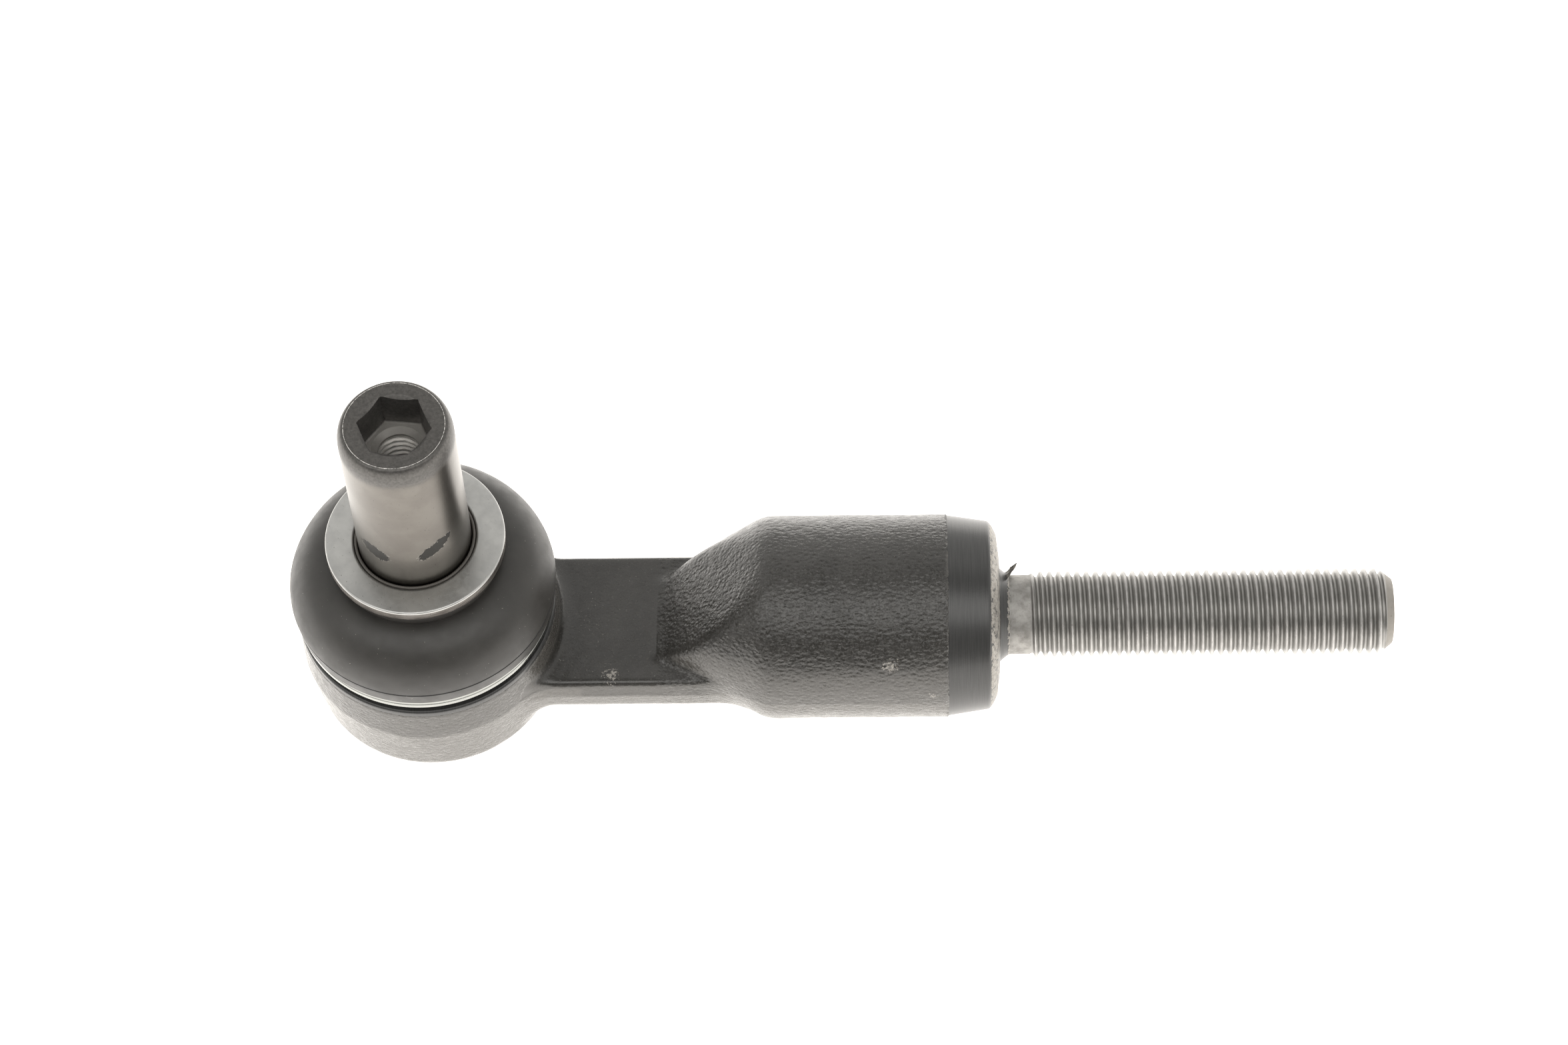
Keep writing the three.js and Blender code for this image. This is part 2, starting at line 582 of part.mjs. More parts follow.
// A pressed disc: its middle fills the opening inside the rolled lip, and its thin rim lies under the lip.
function closingPlate() {
  const middleR = ROLLED_LIP_R - GAP;
  return turned([
    [0, 0],
    [middleR - EDGE_BREAK, 0],
    [middleR, EDGE_BREAK],
    [middleR, PLATE_FLANGE_Z],
    [PLATE_R, PLATE_FLANGE_Z],
    [PLATE_R, PLATE_TOP_Z],
    [0, PLATE_TOP_Z],
  ]);
}

// ---- boot, its rings, and the washer ----
// A stretch of the boot's flank from the clamp ring to the collar, set in from the outside. Each point of
// the outline is a share of the way in from the widest radius, and of the way up from the widest height.
function bootFlank(inset, from, to, steps) {
  const rise = COLLAR_Z - BOOT_WIDEST_Z;
  const reach = BOOT_R - BOOT_COLLAR_R;
  const outline = [
    [0.11, 0.34],
    [0.31, 0.57],
    [0.51, 0.73],
    [0.76, 0.9],
    [1, 1.05],
  ].map(([inward, up]) => new THREE.Vector3(BOOT_R - inward * reach, BOOT_WIDEST_Z + up * rise, 0));
  const foot = new THREE.Vector3((BOOT_R + CLAMP_RING_R) / 2, CLAMP_RING_TOP_Z + GAP, 0);
  const widest = new THREE.Vector3(BOOT_R, BOOT_WIDEST_Z, 0);
  const curve = new THREE.CatmullRomCurve3([foot, widest, ...outline], false, "centripetal");
  return Array.from({ length: steps + 1 }, (_, i) => {
    const t = from + ((to - from) * i) / steps;
    const point = curve.getPoint(t);
    const along = curve.getTangent(t);
    return [point.x - along.y * inset, point.y + along.x * inset];
  });
}

// The rubber boot: a bead in the cup's groove, the flank, and a collar whose lip rises inside the washer.
function dustBoot() {
  return ring([
    [BOOT_GROOVE_R + GAP, CUP_TOP_Z + GAP],
    [BEAD_R, CUP_TOP_Z + GAP],
    [BEAD_R, CLAMP_RING_TOP_Z + GAP],
    ...bootFlank(0, 0, 1, 8),
    [BOOT_COLLAR_R, COLLAR_TOP_Z],
    [LIP_OUTER_R, COLLAR_TOP_Z],
    [LIP_OUTER_R, LIP_TOP_Z],
    [LIP_R, LIP_TOP_Z],
    [LIP_R, COLLAR_Z],
    [BOOT_COLLAR_INNER_R, COLLAR_Z],
    ...bootFlank(BOOT_WALL, 0.88, 0.1, 6),
    [BOOT_FLANGE_R + GAP, BOOT_FLANGE_Z + EDGE_BREAK],
    [BOOT_FLANGE_R + GAP, BOOT_FLANGE_Z - GAP],
    [BOOT_GROOVE_R + GAP, BOOT_FLANGE_Z - BOOT_FLANGE_SLOPE - GAP],
  ]);
}

const clampRing = () => flatRing(CLAMP_RING_INNER_R, CLAMP_RING_R, CLAMP_RING_Z, CLAMP_RING_TOP_Z);
const mouthRing = () =>
  flatRing(MOUTH_RING_INNER_R, MOUTH_RING_R, MOUTH_RING_TOP_Z - MOUTH_RING_HEIGHT, MOUTH_RING_TOP_Z);

function thrustWasher() {
  return ring([
    [WASHER_BORE_R, WASHER_UNDER_Z],
    [WASHER_R - WASHER_BEVEL, WASHER_UNDER_Z],
    [WASHER_R, WASHER_UNDER_Z + WASHER_BEVEL],
    [WASHER_R, WASHER_TOP_Z - WASHER_BEVEL],
    [WASHER_R - WASHER_BEVEL, WASHER_TOP_Z],
    [WASHER_BORE_R, WASHER_TOP_Z],
  ]);
}

// ---- assembly ----
const assembly = new THREE.Group();

function place(name, geometry, finish) {
  const mesh = new THREE.Mesh(geometry, finish);
  mesh.name = name;
  assembly.add(mesh);
}

place("forged_housing", toGeometry(forgedHousing()), PAINTED_FORGING);
place("ball_stud", toGeometry(ballStud()), GROUND_STEEL);
place("upper_bearing_shell", upperShell(), RACE_PLASTIC);
place("lower_bearing_shell", lowerShell(), RACE_PLASTIC);
place("preload_ring", preloadRing(), PRELOAD_ELASTOMER);
place("cover_seal_ring", coverSealRing(), SEAL_RUBBER);
place("closing_plate", closingPlate(), PLATE_STEEL);
place("dust_boot", dustBoot(), BOOT_RUBBER);
place("boot_clamp_ring", clampRing(), RING_STEEL);
place("boot_mouth_ring", mouthRing(), RING_STEEL);
place("thrust_washer", thrustWasher(), WASHER_STEEL);

export default assembly;
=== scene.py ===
import json
import math

import bpy
import numpy as np
from mathutils import Matrix, Vector


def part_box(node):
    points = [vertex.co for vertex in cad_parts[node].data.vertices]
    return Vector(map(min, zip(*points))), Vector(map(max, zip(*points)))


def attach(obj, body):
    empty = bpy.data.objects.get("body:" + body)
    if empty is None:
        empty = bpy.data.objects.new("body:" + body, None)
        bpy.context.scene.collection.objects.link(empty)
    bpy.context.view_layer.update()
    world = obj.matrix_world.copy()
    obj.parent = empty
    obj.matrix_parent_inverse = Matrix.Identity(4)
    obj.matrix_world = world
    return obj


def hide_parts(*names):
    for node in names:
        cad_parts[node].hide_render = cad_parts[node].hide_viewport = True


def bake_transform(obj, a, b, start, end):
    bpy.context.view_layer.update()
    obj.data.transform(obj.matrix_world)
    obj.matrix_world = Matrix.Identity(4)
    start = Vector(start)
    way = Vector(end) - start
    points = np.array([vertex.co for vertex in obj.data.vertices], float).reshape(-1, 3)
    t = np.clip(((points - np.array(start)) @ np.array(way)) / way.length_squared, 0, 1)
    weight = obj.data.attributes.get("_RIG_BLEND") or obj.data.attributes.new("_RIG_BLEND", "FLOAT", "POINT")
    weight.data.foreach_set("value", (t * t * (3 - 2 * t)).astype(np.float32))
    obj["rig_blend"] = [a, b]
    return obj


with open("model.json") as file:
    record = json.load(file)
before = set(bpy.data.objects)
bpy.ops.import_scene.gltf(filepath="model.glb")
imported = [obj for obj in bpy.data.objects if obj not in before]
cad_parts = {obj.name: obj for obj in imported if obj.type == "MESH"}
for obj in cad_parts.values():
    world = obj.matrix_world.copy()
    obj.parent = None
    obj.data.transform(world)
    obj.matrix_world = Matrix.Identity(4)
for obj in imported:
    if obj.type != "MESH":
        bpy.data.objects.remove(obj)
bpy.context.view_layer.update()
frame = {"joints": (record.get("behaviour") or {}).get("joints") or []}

MM = 0.001  # sizes below are in millimetres, and the scene is in metres


# ---- camera ----
CAMERA_PLACE = (75.898, -359.852, 625.905)
CAMERA_YAW = math.radians(-2.762)
CAMERA_PITCH = math.radians(58.283)  # below the horizon
CAMERA_ROLL = math.radians(-2.933)


def add_camera():
    """A camera that looks down on the part along its yaw and pitch, and then rolls about its own line of sight."""
    ahead = Vector((
        math.sin(CAMERA_YAW) * math.cos(CAMERA_PITCH),
        math.cos(CAMERA_YAW) * math.cos(CAMERA_PITCH),
        -math.sin(CAMERA_PITCH),
    ))
    level = Vector((math.cos(CAMERA_YAW), -math.sin(CAMERA_YAW), 0))
    above = level.cross(ahead)
    right = level * math.cos(CAMERA_ROLL) + above * math.sin(CAMERA_ROLL)
    up = above * math.cos(CAMERA_ROLL) - level * math.sin(CAMERA_ROLL)
    data = bpy.data.cameras.new("camera")
    data.lens = 100
    data.sensor_width = 36
    data.clip_start = 0.01
    camera = bpy.data.objects.new("camera", data)
    bpy.context.scene.collection.objects.link(camera)
    turn = Matrix((right, up, -ahead)).transposed()
    camera.matrix_world = Matrix.Translation(Vector(CAMERA_PLACE) * MM) @ turn.to_4x4()
    bpy.context.scene.camera = camera


add_camera()


# ---- sizes read from the frame, in millimetres ----
def span(node):
    """The lowest and highest corner of a CAD node."""
    low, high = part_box(node)
    return np.array(low) / MM, np.array(high) / MM


housing_low, housing_high = span("forged_housing")
_, stud_high = span("ball_stud")
washer_low, washer_high = span("thrust_washer")
_, boot_high = span("dust_boot")
clamp_low, clamp_high = span("boot_clamp_ring")
mouth_low, mouth_high = span("boot_mouth_ring")
_, plate_high = span("closing_plate")
preload_low, preload_high = span("preload_ring")
seal_low, seal_high = span("cover_seal_ring")
_, upper_high = span("upper_bearing_shell")
lower_low, lower_high = span("lower_bearing_shell")

AXIS_Z = frame["joints"][0]["pos_m"][2] / MM  # the ball's centre and the shank's axis
TILT = math.radians(frame["joints"][1]["range_deg"][1])
CUP_R = -housing_low[0]
BOSS_R = AXIS_Z - housing_low[2]
SHANK_END = housing_high[0]
CUP_TOP = clamp_low[2] - 1.6
NECK_TOP = CUP_TOP + 4.5
STUD_TOP = stud_high[2]
WASHER_TOP = washer_high[2]
WASHER_UNDER = washer_low[2]
WASHER_R = washer_high[0]
BOOT_R = boot_high[0]

GAP = 0.3
BALL_R = 11.5
WAIST_R = 6.8
PIN_R = 9
GROOVE_R = CUP_R - 3.7
FLANGE_R = GROOVE_R + 0.9
ARM_TOP = AXIS_Z - 0.4
ARM_BOTTOM = AXIS_Z - 8.9
RAMP_X = CUP_R + 16.4
BOSS_START = RAMP_X + 17.3
CONE_X = BOSS_START + 29.2
CONE_END = CONE_X + 7
FACE_X = CONE_END + 1.6
THREAD_START = FACE_X + 5.4
THREAD_R = 7
THREAD_PITCH = 1.5
THREAD_DEPTH = 0.92
ROWS_A_TURN = 12
THREAD_COLUMNS = 96
NECK_R = THREAD_R - 0.55


# ---- seeded noise ----
def noise(points, size, seed):
    """Smooth value noise from -1 to 1. Each lattice corner gets a hashed value, and the eight round a point are
    mixed by the smoothstep of its place between them. size is the lattice's step."""
    scaled = points / size
    corner = np.floor(scaled).astype(np.int64)
    part = scaled - corner
    part = part * part * (3 - 2 * part)
    total = np.zeros(len(points))
    for offset in np.ndindex(2, 2, 2):
        key = (corner + offset) @ np.array([73856093, 19349663, 83492791]) + seed * 2654435761
        key = (key ^ (key >> 15)) * 2246822519 & 0xFFFFFFFF
        key = (key ^ (key >> 13)) * 3266489917 & 0xFFFFFFFF
        value = ((key ^ (key >> 16)) & 0xFFFFFF) / 0x7FFFFF - 1
        share = np.where(offset, part, 1 - part).prod(axis=1)
        total += value * share
    return total


def lumps(points, size, seed):
    """Three layers of noise, each half the size and half the strength of the one before."""
    layers = [noise(points, size / 2**k, seed + k) / 2**k for k in range(3)]
    return sum(layers) / 1.75


# ---- mesh helpers ----
def build(name, vertices, triangles, attributes=None, sharp=35):
    """A mesh object in metres from vertices in millimetres and triangles. Vertices in one place become one, and
    triangles without area go. The faces are turned outwards by the sign of the enclosed volume."""
    _, first, inverse = np.unique(np.round(vertices, 4), axis=0, return_index=True, return_inverse=True)
    points = vertices[first]
    faces = inverse.reshape(-1)[triangles]
    whole = (faces[:, 0] != faces[:, 1]) & (faces[:, 1] != faces[:, 2]) & (faces[:, 0] != faces[:, 2])
    faces = faces[whole]
    a, b, c = (points[faces[:, k]] for k in range(3))
    if np.einsum("ij,ij->i", a, np.cross(b, c)).sum() < 0:
        faces = faces[:, ::-1]
    mesh = bpy.data.meshes.new(name)
    mesh.from_pydata((points * MM).tolist(), [], faces.tolist())
    mesh.shade_smooth()
    mesh.set_sharp_from_angle(angle=math.radians(sharp))
    for key, values in (attributes or {}).items():
        layer = mesh.attributes.new(key, "FLOAT", "POINT")
        layer.data.foreach_set("value", np.asarray(values, np.float32)[first])
    piece = bpy.data.objects.new(name, mesh)
    bpy.context.scene.collection.objects.link(piece)
    return piece


def grid_triangles(rows, columns):
    """Two triangles for each cell of a grid of vertices that is numbered row by row."""
    a = (np.arange(rows - 1)[:, None] * columns + np.arange(columns - 1)[None]).ravel()
    return np.concatenate([np.stack([a, a + 1, a + columns + 1], 1), np.stack([a, a + columns + 1, a + columns], 1)])


def sheet_of(name, grid, attributes=None, sharp=35):
    """The piece whose surface is a grid of points, of shape rows by columns by 3."""
    rows, columns, _ = grid.shape
    flat = {key: values.reshape(-1) for key, values in (attributes or {}).items()}
    return build(name, grid.reshape(-1, 3), grid_triangles(rows, columns), flat, sharp)


def around(columns):
    """Angles once round, with the last on the first."""
    return np.linspace(0, 2 * np.pi, columns + 1)


def turned(profile, columns=192):
    """A profile of [radius, height] carried round the Z axis: x = r cos a, y = r sin a."""
    r, z = np.asarray(profile, float).T[:, :, None]
    a = around(columns)[None]
    return np.stack([r * np.cos(a), r * np.sin(a), z + 0 * a], axis=2)


def along_x(grid):
    """Lays a shape about Z along +X on the shank's axis, by a quarter turn, so a thread keeps its hand."""
    x, y, z = np.moveaxis(grid, 2, 0)
    return np.stack([z, y, AXIS_Z - x], axis=2)


def eased(corners, closed=False, steps=5):
    """A profile whose corners are rounded. Each corner is (radius, height, fillet): the fillet's arc meets both
    sides at the fillet's length from the corner, as a quadratic curve with the corner as its control point."""
    points = [np.array(c[:2], float) for c in corners]
    out = []
    for i, corner in enumerate(corners):
        here = points[i]
        cut = corner[2] if len(corner) > 2 else 0
        end = not closed and i in (0, len(corners) - 1)
        if not cut or end:
            out.append(here)
            continue
        before, after = points[i - 1], points[(i + 1) % len(points)]
        cut_a = min(cut, np.linalg.norm(before - here) / 2)
        cut_b = min(cut, np.linalg.norm(after - here) / 2)
        start = here + (before - here) * cut_a / np.linalg.norm(before - here)
        stop = here + (after - here) * cut_b / np.linalg.norm(after - here)
        for t in np.linspace(0, 1, steps):
            out.append(start * (1 - t) ** 2 + 2 * here * t * (1 - t) + stop * t * t)
    if closed:
        out.append(out[0])
    return np.array(out)


def arc(centre_r, centre_z, radius, start, stop, steps):
    """Points of an arc about [centre_r, centre_z], between two angles in degrees."""
    a = np.radians(np.linspace(start, stop, steps))
    return np.stack([centre_r + radius * np.cos(a), centre_z + radius * np.sin(a)], axis=1)


def resampled(profile, step):
    """The same profile with points no further apart than a step, so that noise can move them."""
    parts = [profile[:1]]
    for a, b in zip(profile[:-1], profile[1:]):
        count = max(1, math.ceil(np.linalg.norm(b - a) / step))
        t = np.linspace(0, 1, count + 1)[1:, None]
        parts.append(a * (1 - t) + b * t)
    return np.concatenate(parts)


# ---- forging, as a surface where a formula is zero ----
def soft_max(a, b, size):
    """The greater of two values, with the corner where they are equal rounded over that size."""
    t = np.clip(0.5 + 0.5 * (a - b) / size, 0, 1)
    return b * (1 - t) + a * t + size * t * (1 - t)


def soft_min(a, b, size):
    """The lesser of two values, with the corner filleted over that size."""
    return -soft_max(-a, -b, size)


def between(x, start, stop):
    """The smoothstep from 0 at start to 1 at stop."""
    t = np.clip((x - start) / (stop - start), 0, 1)
    return t * t * (3 - 2 * t)


ARM_HALF = 12.5
ARM_PARTING = AXIS_Z - 3.7
CUP_PARTING = AXIS_Z - 1.5
FORGING_TOP = CUP_TOP - 0.95
FOOT_Z = 0.3
BORE_R = 14.8
DOME_R = 15.2
PLATE_BORE_R = 17.5
SHOULDER_Z = 2.1
CONE_SLOPE = (BOSS_R - 7) / 17.3


def on_boss(x, angle):
    """A point on the boss, by its place along X and its angle from overhead towards the front."""
    turn = math.radians(angle)
    return np.array([x, -BOSS_R * math.sin(turn), AXIS_Z + BOSS_R * math.cos(turn)])


SCUFFS = (
    (on_boss(75.0, 60), 2.3),
    (on_boss(81.8, 82), 1.3),
    (np.array([29.6, -10.6, ARM_TOP]), 2.2),
)


def cup(x, y, z):
    """A round cup: its side is the lesser of two drafted cones that meet at the parting line."""
    q = np.hypot(x, y)
    upper = q - (CUP_R - (z - CUP_PARTING) * 0.3 / 7.7)
    lower = q - (CUP_R - (CUP_PARTING - z) * 1.4 / 11.9)
    side = soft_max(upper, lower, 0.15)
    body = soft_max(side, z - FORGING_TOP, 0.6)
    return soft_max(body, FOOT_Z - z, 1.8)


def bore(x, y, z):
    """The hollow inside the cup: the plate's seat, the race's cylinder, and its dome."""
    q = np.hypot(x, y)
    seat = np.maximum(q - PLATE_BORE_R, z - SHOULDER_Z)
    cylinder = np.maximum(q - BORE_R, z - AXIS_Z)
    dome = np.maximum(np.hypot(q, z - AXIS_Z) - DOME_R, q - BORE_R)
    return np.minimum(np.minimum(seat, cylinder), np.maximum(dome, AXIS_Z - 1 - z))


def arm(x, y, z):
    """A bar whose flanks draw in above and below the parting line."""
    above = np.abs(y) - (ARM_HALF - (z - ARM_PARTING) * 0.13)
    below = np.abs(y) - (ARM_HALF - (ARM_PARTING - z) * 0.13)
    side = soft_max(above, below, 0.15)
    body = soft_max(side, z - ARM_TOP, 1.0)
    body = soft_max(body, ARM_BOTTOM - z, 2.6)
    return np.maximum(body, np.maximum(x - (BOSS_START + 3), 4 - x))


def boss(x, y, z):
    """A cylinder along X with a cone for its shoulder, cut by the ramp that rises from the pad at 45 degrees."""
    r = np.hypot(y, z - AXIS_Z)
    cone = (r - (7 + (x - RAMP_X) * CONE_SLOPE)) * math.cos(math.atan(CONE_SLOPE))
    body = soft_max(cone, r - BOSS_R, 0.9)
    ramp = (z - ARM_TOP - (x - RAMP_X)) * math.sqrt(0.5)
    body = soft_max(body, ramp, 1.1)
    return np.maximum(body, np.maximum(x - CONE_X - 0.4, RAMP_X - 5 - x))


def forging(x, y, z):
    """The cup, arm and boss run into each other on fillets, and the cup is hollow."""
    body = soft_min(cup(x, y, z), arm(x, y, z), 3.4)
    body = soft_min(body, boss(x, y, z), 1.7)
    return np.maximum(body, -bore(x, y, z))


def net(field, low, high, step):
    """Vertices and triangles of the surface where field is zero. Each cell of a lattice that the surface crosses
    gets one vertex, at the mean of the crossings on its edges, and each crossed lattice edge gets a face between
    the four cells round it."""
    axes = [np.arange(low[k], high[k] + step, step) for k in range(3)]
    values = field(*np.meshgrid(*axes, indexing="ij"))
    inside = values < 0
    cells = tuple(n - 1 for n in values.shape)
    total = np.zeros(cells + (3,))
    count = np.zeros(cells)
    for axis in range(3):
        for da, db in np.ndindex(2, 2):
            start = np.insert([da, db], axis, 0)
            stop = start + np.eye(3, dtype=int)[axis]
            f0 = values[tuple(slice(s, s + n) for s, n in zip(start, cells))]
            f1 = values[tuple(slice(s, s + n) for s, n in zip(stop, cells))]
            crossed = (f0 < 0) != (f1 < 0)
            t = np.where(crossed, f0 / np.where(crossed, f0 - f1, 1), 0)
            for k in range(3):
                total[..., k] += np.where(crossed, t if k == axis else start[k], 0)
            count += crossed
    active = count > 0
    number = np.full(cells, -1)
    number[active] = np.arange(active.sum())
    place = np.argwhere(active) + total[active] / count[active][:, None]
    vertices = np.array(low) + place * step
    triangles = []
    for axis in range(3):
        u, v = (axis + 1) % 3, (axis + 2) % 3
        first = np.moveaxis(inside, axis, 0)[:-1]
        second = np.moveaxis(inside, axis, 0)[1:]
        crossed = np.moveaxis(first != second, 0, axis)
        leaves = np.moveaxis(first & ~second, 0, axis)
        nodes = np.argwhere(crossed)
        nodes = nodes[(nodes[:, u] > 0) & (nodes[:, v] > 0) & (nodes[:, u] < cells[u]) & (nodes[:, v] < cells[v])]
        step_u, step_v = np.eye(3, dtype=int)[u], np.eye(3, dtype=int)[v]
        quad = [number[tuple((nodes - o).T)] for o in (step_u + step_v, step_v, 0 * step_u, step_u)]
        out = leaves[tuple(nodes.T)]
        quad = np.stack(quad, 1)
        quad[~out] = quad[~out][:, ::-1]
        triangles += [quad[:, [0, 1, 2]], quad[:, [0, 2, 3]]]
    return vertices, np.concatenate(triangles)


def slope(field, points):
    """The field's value and its direction of increase, by central differences."""
    h = 0.02
    value = field(*points.T)
    steps = [field(*(points + h * e).T) - field(*(points - h * e).T) for e in np.eye(3)]
    return value, np.stack(steps, 1) / (2 * h)


def forging_relief(points):
    """The height of the skin's larger lumps and of the flash along the parting line, and four shares from 0 to 1:
    how rough each place is, how near the cup's cut edge, whether it lies under the parting line, and how scuffed."""
    x, y, z = points.T
    rough = 0.55 + 0.45 * between(x, RAMP_X - 0.6, RAMP_X + 1.2)
    rough = rough * (1 - 0.35 * (x < RAMP_X) * (np.hypot(x, y) > CUP_R + 1))
    on_pad = (x < RAMP_X) & (z > ARM_TOP - 0.5) & (np.hypot(x, y) > CUP_R)
    rough = np.where(on_pad, 0.10 + 0.5 * between(x, RAMP_X - 0.6, RAMP_X), rough)
    height = 0.10 * lumps(points, 7, 3) * (0.4 + 0.6 * rough)
    height += 0.045 * lumps(points, 1.6, 11) * rough
    parting = np.where(x < 25, CUP_PARTING, ARM_PARTING) * 1.0
    parting = parting + (AXIS_Z - ARM_PARTING) * between(x, RAMP_X + 6, BOSS_START)
    flash = np.exp(-(((z - parting - 0.25 * noise(points, 4, 5)) / 0.35) ** 2))
    height += 0.07 * flash * (0.6 + 0.6 * noise(points, 1.8, 7)) * (np.hypot(x, y) > BORE_R + 2)
    scuff = np.zeros(len(points))
    for centre, size in SCUFFS:
        scuff = np.maximum(scuff, 1 - np.linalg.norm(points - centre, axis=1) / size)
    inner = bore(x, y, z) < 0.3
    cut_edge = np.exp(-(((z - FORGING_TOP) / 0.22) ** 2)) * (np.hypot(x, y) < CUP_R + 1)
    # under: below the parting line, where forged_skin lightens the flanks further as a painted reflection of the floor
    under = between(z, parting + 0.3, parting - 0.3)
    height = np.where(inner, 0, height)
    rough = np.where(inner, 0, rough)
    return height, {"rough": rough, "cut_edge": cut_edge, "under": under, "scuff": np.maximum(scuff, 0)}


def make_forging():
    """The forging's surface net, drawn onto the formula's zero by three Newton steps, then roughened."""
    low = np.array([housing_low[0] - 1, housing_low[1] - 1, housing_low[2] - 1])
    high = np.array([CONE_X + 1.5, housing_high[1] + 1, housing_high[2] + 1])
    vertices, triangles = net(forging, low, high, 0.46)
    for _ in range(3):
        value, gradient = slope(forging, vertices)
        push = value / np.maximum((gradient**2).sum(1), 0.2)
        vertices = vertices - np.clip(push, -0.2, 0.2)[:, None] * gradient
    _, gradient = slope(forging, vertices)
    normal = gradient / np.maximum(np.linalg.norm(gradient, axis=1, keepdims=True), 1e-6)
    height, attributes = forging_relief(vertices)
    # flank: how steep the surface is; forged_skin lightens steep flanks with it as a painted reflection of the floor
    attributes["flank"] = between(np.abs(normal[:, 2]), 0.55, 0.30)
    vertices = vertices + normal * height[:, None]
    return build("forging", vertices, triangles, attributes, sharp=50)


# ---- machined parts of the housing ----
def mouth_reach(height):
    """The bore's mouth radius at a height above the ball's centre: it clears the stud swung to its limit."""
    return (WAIST_R + 0.45) / math.cos(TILT) + height * math.tan(TILT) + GAP


def make_neck():
    """The cup's machined ledge, the groove and flange that hold the boot, and the mouth inside."""
    dome_z = AXIS_Z + 7.9
    dome_r = math.sqrt(DOME_R**2 - 7.9**2)
    top_r = mouth_reach(NECK_TOP - AXIS_Z) + 1
    profile = eased(
        [
            (14.95, CUP_TOP - 1.7),
            (CUP_R - 0.6, CUP_TOP - 1.7, 0.1),
            (CUP_R - 0.27, CUP_TOP - 1.2, 0.1),
            (CUP_R - 0.27, CUP_TOP - 0.3, 0.12),
            (CUP_R - 0.52, CUP_TOP, 0.15),
            (GROOVE_R, CUP_TOP, 0.3),
            (GROOVE_R, NECK_TOP - 1.5, 0.2),
            (FLANGE_R, NECK_TOP - 1, 0.2),
            (FLANGE_R, NECK_TOP, 0.4),
            (top_r, NECK_TOP, 0.3),
            (mouth_reach(7.9), dome_z, 0.3),
            (dome_r, dome_z, 0.3),
            (14.1, CUP_TOP - 1.2, 0.2),
        ],
        closed=True,
    )
    return sheet_of("machined_neck", turned(profile))


def make_rolled_lip():
    """The cup's rim, rolled inwards under the closing plate, with its edge rounded by the roller."""
    outer_r = PLATE_BORE_R + 0.6
    inner_r = plate_high[0] - 1.7
    profile = eased(
        [
            (outer_r, FOOT_Z - 0.02, 0.1),
            (outer_r, FOOT_Z + 0.7, 0.1),
            (inner_r, FOOT_Z + 0.7, 0.25),
            (inner_r, FOOT_Z + 0.1, 0.3),
            (inner_r + 0.9, FOOT_Z - 0.05, 0.3),
        ],
        closed=True,
    )
    return sheet_of("rolled_lip", turned(profile))


def make_boss_end():
    """The machined end of the boss, turned about the shank's axis: a smooth cone, a rounded corner, the end face,
    and the fillet into the shank's neck."""
    profile = eased(
        [
            (0, CONE_X - 1.2),
            (BOSS_R - 0.9, CONE_X - 1.2, 0.1),
            (BOSS_R - 0.12, CONE_X - 0.1, 0.25),
            (BOSS_R - 1.2, CONE_END, 0.3),
            (BOSS_R - 1.9, CONE_END + 0.6, 0.3),
            (BOSS_R - 3.4, CONE_END + 1.35, 0.5),
            (BOSS_R - 5.6, FACE_X, 0.6),
            (10, FACE_X + 0.15, 0.4),
            (NECK_R + 1.2, FACE_X + 0.2, 0.2),
            (NECK_R + 0.05, FACE_X + 1.6, 1.0),
            (NECK_R - 0.3, FACE_X + 2.4, 0.2),
            (0, FACE_X + 2.4),
        ],
        steps=6,
    )
    profile = resampled(profile, 0.3)
    grid = along_x(turned(profile, 240))
    rough = 0.05 * lumps(grid.reshape(-1, 3), 1.1, 21).reshape(grid.shape[:2])
    edge = between(profile[:, 1], CONE_END - 0.2, CONE_END + 0.6) * (1 - between(profile[:, 1], FACE_X, FACE_X + 0.3))
    grid[..., 0] += rough * edge[:, None]
    return sheet_of("boss_end", grid)


def thread_profile(share, depth):
    """A rolled thread over one turn, as a depth below its crest: a rounded root, two straight flanks, and a
    crest with the fine seam that rolling leaves in its middle."""
    wave = np.abs(((share + 0.5) % 1) - 0.5) * 2  # 0 at the crest's middle, 1 at the root's
    flank = np.clip((wave - 0.15) / (0.78 - 0.15), 0, 1)
    shape = flank * flank * (3 - 2 * flank) * 0.35 + flank * 0.65
    seam = 0.10 * np.exp(-((wave / 0.055) ** 2))
    return depth * np.maximum(shape, seam)


def helix_grid(start, stop, pitch, rows_per_turn, columns, radius_at, end_at):
    """A threaded surface about Z. Row i follows the helix: its place along the axis is
    start + (i / rows_per_turn + a / 2 pi) pitch at angle a, so the last column continues in the first one a turn
    on. radius_at gives the radius there, and end_at folds what runs past either end onto the end's plane."""
    rows = math.ceil((stop - start) / pitch) * rows_per_turn
    share = np.arange(rows + 1)[:, None] / rows_per_turn
    a = around(columns)[None]
    along = start + (share + a / (2 * np.pi)) * pitch
    radius = radius_at(along, share)
    radius, place = end_at(radius, along)
    return np.stack([radius * np.cos(a), radius * np.sin(a), place], axis=2)


def helix_piece(name, grid):
    """A helix grid as a closed piece: the open step at each end lies on the axis, so it closes by itself."""
    rows, columns, _ = grid.shape
    return build(name, grid.reshape(-1, 3), grid_triangles(rows, columns), sharp=60)


